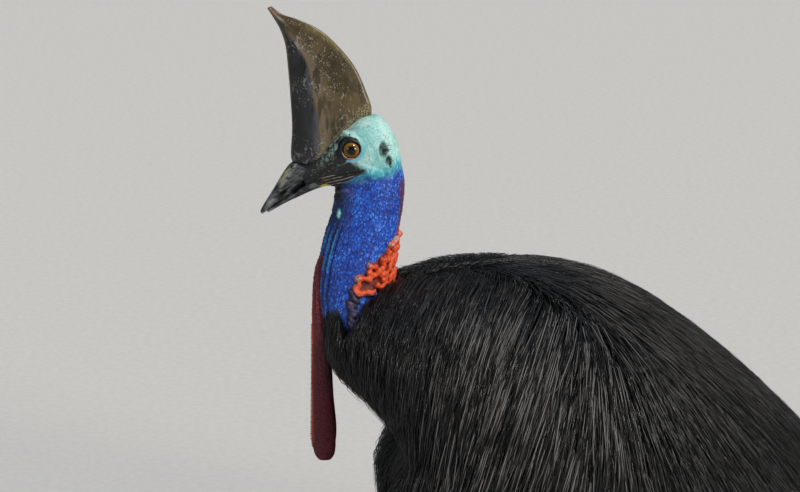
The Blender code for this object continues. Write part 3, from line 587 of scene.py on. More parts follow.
def legMesh(side):
    # the scaled part of the leg, with plates across its upper side
    mesh = bmesh.new()
    rows, inset = [], plates["inset"]
    for x, y, z, halfWidth, halfHeight in smoothRows(tarsusForm, 18):
        rows.append((x, sides[side] * y, z, halfWidth * inset, halfHeight * plateAt(x, "leg") * inset))
    loftInto(mesh, tubeRows(rows, (0, 0, 1)), 22)
    for angle, length, thick, _ in toeForm.values():
        start, way = toeStart(side, angle)
        rows = []
        for share, size in smoothRows(toeProfile, 7):
            place = start + way * (length * share)
            half = thick * size
            high = half * plateAt(share * length, "toe")
            rows.append((place.x, place.y, half * 0.96, half * inset, high * inset))
        loftInto(mesh, tubeRows(rows, (0, 0, 1)), 16, roundness=0.8)
    keptAbove(mesh, skinSizes["floorClear"])
    return outwards(mesh)


def bodyMesh():
    # the skin under the plumage
    mesh = bmesh.new()
    rows = [
        (x, top - coreInset, min(bottom + coreInset, max(bottom, bottom * 2.2)), halfWidth - coreInset)
        for x, top, bottom, halfWidth in bodyForm[1:-2]
    ]
    loftInto(mesh, bodyRows(smoothRows(rows, 2)), 36, square=0.92)
    for side in sides.values():
        rows = []
        for x, y, z, halfWidth, halfHeight in legForm[1:-1]:
            inset = coreInset * 0.8
            rows.append((x, side * y, z, max(halfWidth - inset, 0.012), max(halfHeight - inset, 0.014)))
        loftInto(mesh, tubeRows(smoothRows(rows, 2), (0, 0, 1)), 24)
    keptAbove(mesh, skinSizes["bellyClear"])
    return outwards(mesh)


def treeOf(mesh):
    return BVHTree.FromBMesh(mesh)


def nearness(tree, points, reach):
    # 1 on the form that the tree holds, down to 0 this far from it
    found = np.zeros(len(points))
    for i, point in enumerate(points):
        spot, _, _, away = tree.find_nearest(point, reach)
        if spot is not None:
            found[i] = 1 - away / reach
    return found


def mouthDepth(x, z, outward):
    # the line of the mouth, and the ridges above and below it
    (cornerX, cornerZ), (billX, billZ) = gape["corner"], gape["bill"]
    length = math.hypot(cornerX - billX, cornerZ - billZ)
    alongX, alongZ = (cornerX - billX) / length, (cornerZ - billZ) / length
    along = (x - billX) * alongX + (z - billZ) * alongZ
    above = (z - billZ) * alongX - (x - billX) * alongZ
    above -= gape["sag"] * np.sin(np.clip(along / length, 0, 1) * math.pi)
    line = gape["depth"] * np.exp(-((above / gape["halfHeight"]) ** 2))
    ridges = np.cos(above / gape["ridges"] * math.tau) * np.exp(-((above / 0.0075) ** 2))
    ridges *= gape["ridgeDepth"] * smoothStep(0.0010, 0.0026, np.abs(above))
    near = smoothStep(-0.004, 0.004, along) * smoothStep(length + 0.006, length - 0.004, along)
    return (line + ridges) * near * smoothStep(0.006, 0.012, outward)


def pebblesAt(points):
    # 1 in the middle of each granule of the skin, down to 0 between them
    pebbles = np.zeros(len(points))
    size = skinSizes["pebble"]
    for i in np.nonzero(points[:, 2] > 0.36)[0]:
        x, y, z = points[i]
        wander = noise.noise((x * 60, y * 60, z * 60)) * 0.004
        place = Vector(((x + wander) / size, y / size, (z + (x - wander) * 0.55) / (size * 1.5)))
        near = noise.voronoi(place)[0]
        pebbles[i] = min(near[1] - near[0], 0.6) / 0.6
    return pebbles


def sculptedFace(points, normals):
    # presses the eyes' sockets, the mouth, the ears and the fine folds into the head and neck
    x, y, z = points.T
    outward = np.abs(y)
    out = -mouthDepth(x, z, outward)
    besideEar = smoothStep(0.015, 0.022, outward)
    for earX, earZ, halfWidth, halfHeight in ears:
        reach = ((x - earX) / halfWidth) ** 2 + ((z - earZ) / halfHeight) ** 2
        out -= earSizes["depth"] * np.exp(-reach) * besideEar
        out += earSizes["rim"] * np.exp(-((np.sqrt(reach) - 1.7) ** 2) * 5) * besideEar
    # furrows down the throat
    middle, _, halfWidth = neckAt(z)
    turn = np.degrees(np.arctan2(outward / halfWidth, (x - middle) / halfWidth))
    front = smoothStep(128, 140, turn) * smoothStep(176, 166, turn) * smoothStep(0.556, 0.530, z) * (z > 0.40)
    furrow = np.cos(turn / furrows["degrees"] * math.tau) * front
    out += furrows["depth"] * furrow
    # granules, larger on the neck and coarse on the throat, and crinkles round the eye
    granular = smoothStep(0.608, 0.586, z) * smoothStep(0.055, 0.048, outward)
    granular = granular * (1 + 1.4 * smoothStep(-0.066, -0.078, x - 0.25 * (z - 0.55)) * (z > 0.49))
    pebbles = pebblesAt(points)
    out += skinSizes["pebbleDepth"] * (pebbles - 0.55) * (0.12 + 1.25 * granular)
    aroundEye = np.hypot(x - eyeSizes["x"], z - eyeSizes["z"])
    crinkle = smoothStep(0.030, 0.017, aroundEye) * smoothStep(0.0135, 0.016, aroundEye) * (z > 0.60)
    out += crinkles["depth"] * np.cos(aroundEye * math.tau / crinkles["apart"]) * crinkle
    moved = points + normals * out[:, None]
    # the skin passes behind the front of the eye, inside the ring of the lids
    socket = (aroundEye < skinSizes["lidRadius"] - 0.0016) & (outward > eyeSizes["y"]) & (x < -0.03)
    deep = np.minimum(outward, eyeSizes["y"] + 0.0035)
    moved[:, 1] = np.where(socket, np.sign(y) * deep, moved[:, 1])
    return moved, pebbles, furrow


def makeSkin(finish):
    folds, purples = foldTubes(), purpleFolds()
    wattles = [wattleMesh(side) for side in sides]
    foldTree, purpleTree = treeOf(folds), treeOf(purples)
    wattleTrees = [treeOf(mesh) for mesh in wattles]
    head = headMesh()
    for mesh in (folds, purples, *wattles):
        data = bpy.data.meshes.new("part")
        mesh.to_mesh(data)
        mesh.free()
        head.from_mesh(data)
    head = remeshed(linked("skin", head), skinSizes["voxel"])
    setPoints(head, sculptedFace(pointsOf(head), normalsOf(head))[0])
    body = remeshed(linked("body", bodyMesh()), skinSizes["bodyVoxel"])
    legs = [legMesh(side) for side in sides]
    legTrees = [treeOf(mesh) for mesh in legs]
    legs = [remeshed(linked("leg", mesh), skinSizes["legVoxel"]) for mesh in legs]
    skin = combined(head, [body, edgeBeads(), *legs], "UNION")
    # the markings of each form are kept at the skin's points
    points = pointsOf(skin)
    x, y, z = points.T
    middle, _, halfWidth = neckAt(z)
    across = np.arctan2(np.abs(y), x - middle) * halfWidth
    onNape = smoothStep(0.075, 0.060, np.abs(y)) * (x < 0.03)
    _, pebbles, furrow = sculptedFace(points, np.zeros_like(points))
    reach, legReach = skinSizes["markReach"], skinSizes["legReach"]
    marks = {
        "nape": smoothStep(-0.002, 0.014, napePatch(across, z)) * onNape,
        "fold": nearness(foldTree, points, reach) * (z > 0.44),
        "purple": nearness(purpleTree, points, reach) * (z > 0.40),
        "wattle": np.maximum(*(nearness(tree, points, reach) for tree in wattleTrees)),
        "leg": np.maximum(*(nearness(tree, points, legReach) for tree in legTrees)),
        "pebble": pebbles,
        "furrow": furrow,
    }
    for name, values in marks.items():
        attributeOn(skin, name, values)
    print("skin:", len(skin.data.polygons), "faces")
    nodes = ["head", "neck", "nape_caruncle", "torso", "tail"]
    nodes += [f"{part}_{side}" for part in ("wattle", "thigh", "tarsus") for side in sides]
    nodes += [f"toe_{toe}_{side}" for toe in toeForm for side in sides]
    return handedIn(skin, finish, "neck_skin", *nodes)


def paintNeck(f, blotch, speckle, pebble):
    # mint on the crown, teal towards the throat, blue down the neck
    mint = f.mix((0.39, 0.60, 0.56), (0.21, 0.46, 0.44), f.between(blotch, 0.46, 0.68))
    mint = f.mix(mint, (0.10, 0.30, 0.28), f.between(speckle, 0.58, 0.72) * 0.5)
    mint = f.mix(mint, (0.06, 0.26, 0.27), f.between(pebble, 0.35, 0.0) * 0.5)
    teal = f.mix((0.04, 0.30, 0.36), (0.16, 0.52, 0.54), f.between(speckle, 0.40, 0.62))
    tone = f.noise(500, 4, (1, 1, 0.55), 0.9) * 0.60 + pebble * 0.25 + f.noise(30, 3) * 0.20
    rear = f.between(f.x + (0.55 - f.z) * 0.25, -0.060, -0.005)
    furrow = f.attribute("furrow")
    blue = f.mix((0.003, 0.014, 0.12), (0.008, 0.050, 0.36), f.between(tone, 0.38, 0.52))
    blue = f.mix(blue, (0.018, 0.120, 0.56), f.between(tone, 0.50, 0.60))
    blue = f.mix(blue, (0.07, 0.31, 0.72), f.between(tone + rear * 0.030, 0.590, 0.67) * 0.6)
    # the furrows get a painted highlight on their ridges and painted shade in their grooves
    blue = f.mix(blue, (0.03, 0.24, 0.38), f.between(furrow, 0.15, 0.8) * f.between(blotch, 0.36, 0.56) * 0.8)
    blue = f.mix(blue, (0.004, 0.012, 0.07), f.between(furrow, -0.15, -0.8) * 0.8)
    slope = f.line((-0.100, 0.585), (0.000, 0.605)) + (blotch * 0.030 - 0.015)
    f.colour = f.mix(mint, teal, f.between(slope, 0.026, 0.008))
    f.paint(blue, f.between(slope, 0.014, -0.006))
    # painted shadow darkens the throat, with a purple fold under the jaw and a pale drop below it
    # painted shadow under the jaw
    throat = f.between(f.x - f.z * 0.25, -0.192, -0.215) * f.band(f.z, 0.520, 0.556, 0.592, 0.602)
    f.paint((0.008, 0.020, 0.060), throat * 0.8)
    f.paint((0.040, 0.034, 0.16), f.spot((-0.0640, 0.016, 0.5830), (0.016, 0.022, 0.0060), 0.5, 1.0) * 0.7)
    # the drop's pale colour, paler toward its bottom, is partly a painted highlight on a small lump of skin
    pale = f.mix((0.05, 0.26, 0.40), (0.24, 0.60, 0.58), f.between(f.z, 0.562, 0.553))
    f.paint(pale, f.spot(dropPlace, (0.0040, 0.0060, 0.0084), 0.45, 1.0))


def paintLores(f, blotch, speckle):
    # black lores, with a pale wedge under the casque, and the pale ridges of the gape
    mouth = f.line(gape["bill"], gape["corner"])
    black = f.mix((0.006, 0.007, 0.008), (0.026, 0.029, 0.029), f.between(speckle, 0.54, 0.70))
    front = f.between(f.x + (blotch - 0.5) * 0.014, -0.0665, -0.0745) * f.between(f.z, 0.560, 0.578)
    belowEye = f.spot((-0.0715, 0.030, 0.6240), (0.0120, 0.05, 0.0095), 0.55, 1.0)
    overMouth = f.between(mouth + (blotch - 0.5) * 0.008, 0.0190, 0.0130) * f.between(mouth, -0.006, 0.0)
    overMouth = overMouth * f.between(f.x + mouth * 0.9 + (speckle - 0.5) * 0.012, -0.036, -0.047)
    f.paint(black, f.maths("MAXIMUM", f.maths("MAXIMUM", front, belowEye), overMouth))
    underCasque = f.line((-0.1085, 0.605), (-0.0498, 0.6694))
    wedge = f.between(underCasque, -0.0085, -0.0030) * f.band(f.x, -0.101, -0.080, -0.06, -0.04)
    f.paint((0.22, 0.36, 0.31), wedge * f.between(speckle, 0.40, 0.60) * 0.85)
    nearGape = f.between(f.x, -0.0405, -0.0440) * f.between(f.outward, 0.006, 0.014)
    halfHeight = f.between(f.x, -0.038, -0.074) * 0.0060 + (speckle - 0.5) * 0.0022 + 0.0018
    fromMouth = f.maths("ABSOLUTE", mouth)
    dark = f.between(fromMouth - halfHeight, 0.0009, -0.0008) * nearGape
    f.paint(black, dark)
    ridge = f.between(f.maths("PINGPONG", mouth + blotch * 0.0016, 0.0020), 0.0013, 0.0018)
    ridge = ridge * dark * f.between(f.x, -0.100, -0.086)
    f.paint((0.36, 0.31, 0.24), ridge * f.between(f.noise(60, 3, (0.6, 1, 1.6)), 0.40, 0.54) * 0.85)
    # painted shade fills the slit of the mouth
    f.paint((0.003, 0.003, 0.003), f.between(fromMouth, 0.0008, 0.0004) * dark)


def paintEyes(f, speckle):
    # the eye's black ring, wider to the front and above, its width above partly painted shade under the brow,
    # with a pink rim and a blue crescent
    across, above = f.x - eyeSizes["x"], f.z - eyeSizes["z"]
    away = f.maths("SQRT", across * across + above * above)
    beside = f.between(f.outward, 0.018, 0.022)
    ring = f.between(away + across * 0.16 - above * 0.16 + (speckle - 0.5) * 0.0016, 0.0142, 0.0130) * beside
    ring = f.maths("MAXIMUM", ring, f.spot((-0.0720, 0.030, 0.6315), (0.0085, 0.05, 0.0042), 0.5, 1.0))
    f.paint((0.006, 0.007, 0.009), ring)
    rim = f.band(away, 0.0097, 0.0103, 0.0112, 0.0119) * f.between(above, -0.0015, -0.0055) * beside
    f.paint((0.36, 0.20, 0.19), rim * 0.65)
    crescent = f.band(away, 0.0126, 0.0133, 0.0143, 0.0152) * beside * f.between(across - above, 0.004, 0.012)
    f.paint((0.12, 0.36, 0.62), crescent * 0.75)
    # painted shade darkens the hollows of the ears
    for x, z, halfWidth, halfHeight in ears:
        ear = f.spot((x, 0.030, z), (halfWidth * 1.8, 0.03, halfHeight * 1.6), 0.45, 1.05)
        f.paint((0.005, 0.013, 0.014), ear * (0.72 + f.between(speckle, 0.35, 0.6) * 0.28))
    return ring


def paintFolds(f, blotch, speckle):
    # a purple line down the nape turns orange above the folds
    fromBack = f.maths("ARCTAN2", f.outward, f.x + 0.040)
    line = f.between(fromBack + (blotch - 0.5) * 0.5, 0.42, 0.22) * f.between(f.z, 0.605, 0.585)
    line = line * f.between(f.x, 0.014, 0.008) * f.between(f.z, 0.44, 0.46)
    f.paint(f.mix((0.46, 0.045, 0.012), (0.075, 0.012, 0.055), f.between(f.z, 0.522, 0.548)), line)
    # folds, orange with grey along the blue, with painted shade in the creases between them and a painted
    # highlight on their crests, and the purple ones below
    fold, patch, purple = f.attribute("fold"), f.attribute("nape"), f.attribute("purple")
    orange = f.mix((0.09, 0.004, 0.002), (0.56, 0.066, 0.013), f.between(fold, 0.66, 0.95))
    # painted highlight on the crests of the orange folds
    foldGlint = f.between(speckle, 0.50, 0.68) * f.between(fold, 0.92, 0.99)
    orange = f.mix(orange, (0.74, 0.20, 0.07), foldGlint * 0.6)
    edge = f.between(patch + (blotch - 0.5) * 0.5, 0.36, 0.14) * f.between(fold, 0.4, 0.8)
    orange = f.mix(orange, (0.28, 0.26, 0.27), edge * f.between(speckle, 0.40, 0.54) * 0.7)
    f.paint(orange, f.maths("MAXIMUM", f.between(patch, 0.45, 0.80), f.between(fold, 0.10, 0.45)))
    # the purple folds: painted highlight on their crests, painted shade between them, and small pale painted
    # glints
    lit = f.between(purple, 0.76, 0.97) * f.between(speckle, 0.3, 0.6)
    colour = f.mix((0.006, 0.005, 0.018), (0.070, 0.052, 0.125), lit)
    purpleGlints = f.between(purple, 0.93, 0.99) * f.between(speckle, 0.56, 0.64)
    f.paint(f.mix(colour, (0.24, 0.22, 0.28), purpleGlints * 0.7), f.between(purple, 0.05, 0.5))


def paintWattles(f, wattle, granules):
    # crimson, with painted shadow darkening the rear, and red front edges
    crimson = f.mix((0.17, 0.017, 0.026), (0.050, 0.003, 0.009), f.between(granules, 0.25, 0.75))
    # painted shadow of the far wattle on the rear of the near one
    rear = f.between(f.x, -0.0950, -0.0870) * f.between(f.z, 0.320, 0.365)
    crimson = f.mix(crimson, (0.020, 0.002, 0.007), rear * 0.85)
    front = f.between(f.x, -0.1030, -0.1058) * f.between(f.z, 0.262, 0.285)
    f.paint(f.mix(crimson, (0.50, 0.060, 0.022), front * 0.7), wattle)


def paintHidden(f, wattle):
    # dark under the plumage, up to the ragged point of it on the breast
    ragged = (f.noise(300, 2, (1, 1, 0.25)) - 0.5) * 0.014
    point = f.between(f.line((-0.0984, 0.4205), (-0.077, 0.4475)) + ragged, 0.0005, -0.0030)
    point = point * f.between(f.line((-0.077, 0.4475), (-0.0576, 0.4140)) + ragged, 0.0005, -0.0030)
    foot = f.between(f.line((-0.047, 0.4520), (0.002, 0.4780)), 0.0, -0.006) * f.between(f.x, -0.050, -0.044)
    rear = f.between(f.x, 0.000, 0.003) * f.between(f.z, 0.505, 0.492)
    hidden = f.between(f.z, 0.414, 0.402)
    for other in (foot, point, rear):
        hidden = f.maths("MAXIMUM", hidden, other)
    f.paint((0.006, 0.006, 0.007), hidden * (1 - wattle) * f.between(f.z, 0.56, 0.53))


def skinFinish():
    f = Finish("skinFinish", Roughness=0.5, Specular_IOR_Level=0.38)
    pebble = f.attribute("pebble")
    wattle = f.between(f.attribute("wattle"), 0.05, 0.4)
    leg = f.between(f.attribute("leg"), 0.05, 0.4)
    blotch, speckle = f.noise(45, 5), f.noise(260, 3, (1, 1, 0.6))
    fine, granules, scales = f.cells(520, (1, 1, 0.7)), f.cells(620), f.cells(150, (0.8, 1, 1))
    paintNeck(f, blotch, speckle, pebble)
    halo = f.spot((eyeSizes["x"], 0.030, eyeSizes["z"]), (0.021, 0.05, 0.0175), 0.62, 1.0)
    f.paint((0.06, 0.30, 0.30), halo * 0.75)
    paintLores(f, blotch, speckle)
    ring = paintEyes(f, speckle)
    paintFolds(f, blotch, speckle)
    paintWattles(f, wattle, granules)
    paintHidden(f, wattle)
    # grey scales on the legs
    grey = f.mix((0.040, 0.036, 0.028), (0.20, 0.185, 0.145), f.between(scales, 0.60, 0.15))
    f.paint(f.mix(grey, (0.10, 0.085, 0.060), f.between(blotch, 0.45, 0.65)), leg)
    roughness = 0.44 + (1 - pebble) * 0.16 + leg * 0.12 - ring * 0.20
    height = fine * 0.5 + speckle * 0.8 + scales * leg * -2.0 - granules * wattle * 1.5
    return f.wear(roughness, f.bump(height, 0.0007, 0.55))


# Casque
casqueSizes = {"ringsPerRow": 5, "sides": 56, "wave": 0.0009, "grain": 0.00025}
casqueForm = [  # front x, front z, rear x, rear z, thickness
    (-0.122, 0.606, -0.040, 0.655, 0.034), (-0.1300, 0.620, -0.0335, 0.676, 0.040),
    (-0.1285, 0.655, -0.0395, 0.698, 0.034), (-0.1300, 0.690, -0.0520, 0.727, 0.028),
    (-0.1325, 0.725, -0.0700, 0.751, 0.0225), (-0.1355, 0.755, -0.0940, 0.7735, 0.0165),
    (-0.1415, 0.7745, -0.1210, 0.7865, 0.011), (-0.1490, 0.7880, -0.1385, 0.7925, 0.0075),
    (-0.1565, 0.8000, -0.1510, 0.8020, 0.005),
]
casqueOutline = [  # share of the way from the front edge to the rear one, share of the half thickness
    (0.0, 0.12), (0.04, 0.34), (0.10, 0.55), (0.18, 0.80), (0.25, 0.96), (0.31, 1.0), (0.38, 0.92),
    (0.46, 0.78), (0.58, 0.62), (0.70, 0.52), (0.82, 0.42), (0.92, 0.30), (0.97, 0.24), (1.0, 0.12),
]


def makeCasque(finish):
    def outline(c, s):
        share = (1 + c) / 2
        thick = columnAt(casqueOutline, share, 1)
        return c, math.copysign(thick, s)

    laid = []
    for frontX, frontZ, rearX, rearZ, thickness in smoothRows(casqueForm, casqueSizes["ringsPerRow"]):
        front, rear = Vector((frontX, 0, frontZ)), Vector((rearX, 0, rearZ))
        laid.append(((front + rear) / 2, (rear - front) / 2, Vector((0, thickness / 2, 0))))
    mesh = lofted(laid, casqueSizes["sides"], outline=outline)
    onlyAcross = {"use_axis_x": False, "use_axis_y": True, "use_axis_z": False}
    bmesh.ops.smooth_vert(mesh, verts=mesh.verts, factor=0.4, **onlyAcross)
    for vertex in mesh.verts:
        x, y, z = vertex.co
        wave = noise.noise((x * 55, y * 55, z * 40)) * casqueSizes["wave"]
        wave += noise.noise((x * 160, y * 160, z * 120)) * casqueSizes["grain"]
        vertex.co.y += math.copysign(wave, y)
    print("casque:", len(mesh.faces), "faces")
    casque = linked("casqueHorn", mesh)
    # the share of the way from the front edge to the rear one, for the markings
    x, _, z = pointsOf(casque).T
    levels = [(row[1] + (row[3] - row[1]) * 0.4, row[0], row[2]) for row in casqueForm]
    front, rear = (columnAt(levels, z, k) for k in (1, 2))
    attributeOn(casque, "chord", (x - front) / (rear - front))
    return handedIn(casque, finish, "horn", "casque")


def casqueFinish():
    f = Finish("casqueFinish", Specular_IOR_Level=0.30, Coat_Weight=0.16, Coat_Roughness=0.14)
    large, specks = f.noise(28, 5), f.noise(520, 3)
    streaks = f.noise(130, 5, (1.0, 1.0, 0.25))
    # slate in front and olive brown behind, with a painted highlight along the ridge between them
    chord = f.attribute("chord") + (large - 0.5) * 0.14 + f.between(f.z, 0.74, 0.79) * 0.3
    olive = f.mix((0.036, 0.026, 0.010), (0.082, 0.060, 0.027), f.between(large, 0.38, 0.66))
    olive = f.mix(olive, (0.020, 0.016, 0.008), f.between(streaks, 0.50, 0.66) * 0.8)
    light = f.between(chord, 0.64, 0.42) * f.between(streaks, 0.62, 0.46)
    olive = f.mix(olive, (0.120, 0.090, 0.062), light * 0.7)
    slate = f.mix((0.004, 0.004, 0.005), (0.013, 0.014, 0.018), f.between(large, 0.4, 0.6))
    f.colour = f.mix(slate, olive, f.between(chord, 0.31, 0.39))
    ridgeGlint = f.band(chord, 0.24, 0.32, 0.33, 0.38) * f.between(streaks, 0.35, 0.60)
    f.paint((0.060, 0.066, 0.082), ridgeGlint * 0.7)
    # pale scratches and scuffs, a thin edge, a brown tip and a crust along the base
    scratched = f.between(specks, 0.585, 0.64) * f.between(f.noise(34, 4), 0.46, 0.60)
    scuffs = f.between(f.noise(260, 6, (1.0, 1.0, 0.6), 0.7), 0.575, 0.62)
    scuffs = scuffs * f.between(f.noise(19, 3), 0.47, 0.58)
    scratched = f.maths("MAXIMUM", scratched, scuffs * 0.8)
    f.paint((0.26, 0.25, 0.21), scratched * 0.6)
    thin = f.between(f.outward, 0.0040, 0.0022) * f.between(f.z, 0.79, 0.77)
    f.paint((0.16, 0.125, 0.045), thin * f.between(streaks, 0.32, 0.5) * 0.7)
    f.paint((0.15, 0.075, 0.030), f.between(f.z - f.x * 0.3, 0.833, 0.842) * f.between(large, 0.35, 0.6))
    base = f.line((-0.1085, 0.605), (-0.0498, 0.6694)) + (streaks - 0.5) * 0.010
    crust = f.between(base, 0.0085, 0.0045) * f.between(f.x, -0.112, -0.098)
    f.paint((0.20, 0.175, 0.085), crust * f.between(specks, 0.42, 0.60) * 0.8)
    roughness = 0.33 + scratched * 0.25 + (streaks - 0.5) * 0.40 + crust * 0.25
    height = streaks * 0.45 + large * 0.6 - scratched * 0.4 + crust * specks
    return f.wear(roughness, f.bump(height, 0.0010, 0.5))


# Bill
billUpperForm = [  # top x, top z, bottom x, bottom z, half width
    (-0.098, 0.617, -0.088, 0.6035, 0.0150), (-0.114, 0.615, -0.1005, 0.5975, 0.0150),
    (-0.127, 0.6145, -0.112, 0.5910, 0.0140), (-0.1350, 0.6080, -0.1230, 0.5825, 0.0120),
    (-0.1430, 0.5955, -0.1345, 0.5740, 0.0102), (-0.1510, 0.5820, -0.1440, 0.5670, 0.0088),
    (-0.1590, 0.5690, -0.1540, 0.5595, 0.0068), (-0.1650, 0.5590, -0.1610, 0.5535, 0.0044),
    (-0.1672, 0.5540, -0.1648, 0.5510, 0.0024),
]
billLowerForm = [
    (-0.079, 0.6040, -0.076, 0.5890, 0.0150), (-0.0985, 0.5982, -0.0955, 0.5840, 0.0142),
    (-0.1120, 0.5907, -0.1090, 0.5785, 0.0127), (-0.1233, 0.5821, -0.1210, 0.5728, 0.0110),
    (-0.1353, 0.5731, -0.1330, 0.5672, 0.0094), (-0.1498, 0.5626, -0.1478, 0.5588, 0.0072),
    (-0.1590, 0.5556, -0.1578, 0.5530, 0.0046),
]
nostril = {
    "x": -0.1400, "y": 0.0088, "z": 0.5785, "radii": (0.0068, 0.0032, 0.0021), "lean": -36,
    "front": (-0.1481, 0.5726), "rear": (-0.1319, 0.5844), "halfHeight": 0.0020, "halfLength": 0.0066,
}


def makeBill(name, form, finish):
    mesh = lofted(bladeRows(smoothRows(form, 8)), 44, square=0.72, roundness=0.5)
    bill = linked(name, mesh)
    if name == "billUpper":
        holes = bmesh.new()
        for side in sides.values():
            place = (nostril["x"], side * nostril["y"], nostril["z"])
            ballInto(holes, place, nostril["radii"], math.radians(nostril["lean"]), 20)
        bmesh.ops.recalc_face_normals(holes, faces=holes.faces)
        combined(bill, [linked("holes", holes)], "DIFFERENCE")
    return handedIn(bill, finish, "bill", "bill_upper" if name == "billUpper" else "bill_lower")


def billFinish():
    f = Finish("billFinish", Specular_IOR_Level=0.5, Coat_Weight=0.1, Coat_Roughness=0.3)
    grain = f.noise(190, 5, (0.35, 1, 1.0), 0.5)
    large = f.noise(60, 4)
    dull = f.between(grain * 0.65 + large * 0.35, 0.47, 0.64)
    f.colour = f.mix((0.004, 0.005, 0.006), (0.085, 0.090, 0.094), dull)
    f.paint((0.17, 0.18, 0.19), f.between(f.x, -0.146, -0.160) * f.between(large, 0.40, 0.56) * 0.75)
    # painted highlights along the top, one pale yellow and one grey, and yellow under the lower half
    top = f.line((-0.166, 0.557), (-0.127, 0.6165))
    culmenGlint = f.between(top, -0.0042, -0.0008) * f.band(f.z, 0.585, 0.596, 0.606, 0.615)
    f.paint((0.38, 0.37, 0.20), culmenGlint * f.between(large, 0.30, 0.50) * 0.8)
    pale = f.band(top, -0.0075, -0.0045, -0.0035, -0.0018) * f.between(f.x, -0.118, -0.126)
    f.paint((0.20, 0.21, 0.22), pale * f.between(grain, 0.42, 0.56) * 0.7)
    yellow = f.spot((-0.0850, 0.015, 0.5868), (0.0125, 0.03, 0.0046), 0.6, 1.0)
    f.paint((0.50, 0.44, 0.03), yellow * f.between(large, 0.30, 0.50))
    # fine ridges along the side, and painted shade in the nostril's opening
    ridge = f.maths("PINGPONG", f.line((-0.1250, 0.5900), (-0.1560, 0.5670)) + large * 0.0010, 0.0022)
    ridge = f.between(ridge, 0.0016, 0.0021) * f.band(f.x, -0.160, -0.150, -0.122, -0.112)
    f.paint((0.12, 0.125, 0.125), ridge * f.between(large, 0.42, 0.56) * 0.6)
    fromHole = f.maths("ABSOLUTE", f.line(nostril["front"], nostril["rear"]))
    besideHole = f.maths("ABSOLUTE", f.x - nostril["x"])
    nostrilShade = f.between(fromHole, nostril["halfHeight"] + 0.0010, nostril["halfHeight"])
    length = nostril["halfLength"]
    nostrilShade = nostrilShade * f.between(besideHole + fromHole, length + 0.0012, length)
    f.paint((0.001, 0.001, 0.001), nostrilShade)
    roughness = 0.36 + (grain - 0.5) * 0.5 + nostrilShade * 0.5
    return f.wear(roughness, f.bump(grain + large * 0.6 + ridge * 0.6, 0.0011, 0.5))


# Eyes
def makeEye(side, finish):
    mesh = bmesh.new()
    ball = {"u_segments": 64, "v_segments": 48, "radius": eyeSizes["ball"]}
    made = bmesh.ops.create_uvsphere(mesh, **ball)["verts"]
    bmesh.ops.rotate(mesh, verts=made, matrix=Matrix.Rotation(math.radians(90), 3, "X"))
    for vertex in made:
        # the clear front of the eye stands out a little
        away = math.hypot(vertex.co.x, vertex.co.z) / eyeSizes["iris"]
        if vertex.co.y * sides[side] > 0 and away < 1:
            vertex.co.y += sides[side] * eyeSizes["bulge"] * (1 - away * away)
    place = (eyeSizes["x"], sides[side] * eyeSizes["y"], eyeSizes["z"])
    bmesh.ops.translate(mesh, verts=made, vec=place)
    return handedIn(linked("eyeBall" + side.capitalize(), mesh), finish, "eye", "eye_" + side)


def eyeFinish():
    f = Finish("eyeFinish", Roughness=0.09, Specular_IOR_Level=0.32, Coat_Weight=0.08, Coat_Roughness=0.04)
    across, above = f.x - eyeSizes["x"], f.z - eyeSizes["z"]
    iris, pupil = eyeSizes["iris"], eyeSizes["pupil"]
    away = f.maths("SQRT", across * across + above * above)
    # fibres run outwards from the pupil
    place = f.node("ShaderNodeCombineXYZ", inputs={0: f.maths("ARCTAN2", above, across) * 6.0, 1: away * 420})
    fibre = f.node("ShaderNodeTexNoise", inputs={"Vector": place, "Scale": 1.6, "Detail": 4.0})
    outer = f.between(away + (fibre - 0.5) * 0.003, pupil * 1.1, iris * 0.82)
    amber = f.mix((0.030, 0.010, 0.002), (0.17, 0.092, 0.014), outer)
    amber = f.mix(amber, (0.30, 0.18, 0.04), f.between(fibre, 0.52, 0.68) * outer * 0.5)
    f.colour = f.mix((0.002, 0.002, 0.002), amber, f.between(away, pupil * 0.95, pupil * 1.10))
    f.paint((0.012, 0.008, 0.006), f.between(away, iris * 0.90, iris * 1.0))
    return f.wear()


# Claws
clawForm = [  # share of the length, half thickness as a share of the toe's, rise
    (-0.12, 0.46, 0.0), (0, 0.50, 0.0), (0.40, 0.42, 0.06), (0.78, 0.22, 0.0), (0.97, 0.07, 0.0),
]


def makeClaw(side, name, finish):
    angle, length, thick, reach = toeForm[name]
    start, way = toeStart(side, angle)
    rows = []
    for share, size, rise in smoothRows(clawForm, 6):
        place = start + way * (length * 0.93 + reach * share)
        half = thick * size
        height = max(half + 0.0004, thick * (0.62 + rise - 0.42 * share))
        rows.append((place.x, place.y, height, half * 0.92, half))
    mesh = lofted(tubeRows(rows, (0, 0, 1)), 20, roundness=0.8)
    keptAbove(mesh, skinSizes["floorClear"])
    claw = linked(f"claw{name.capitalize()}{side.capitalize()}", mesh)
    return handedIn(claw, finish, "claw", f"claw_{name}_{side}")


def clawFinish():
    f = Finish("clawFinish", Specular_IOR_Level=0.5)
    grain = f.noise(240, 5, (0.2, 1, 1))
    f.colour = f.mix((0.018, 0.016, 0.014), (0.085, 0.078, 0.066), f.between(grain, 0.42, 0.66))
    return f.wear(0.34 + (grain - 0.5) * 0.4, f.bump(grain, 0.0006, 0.4))


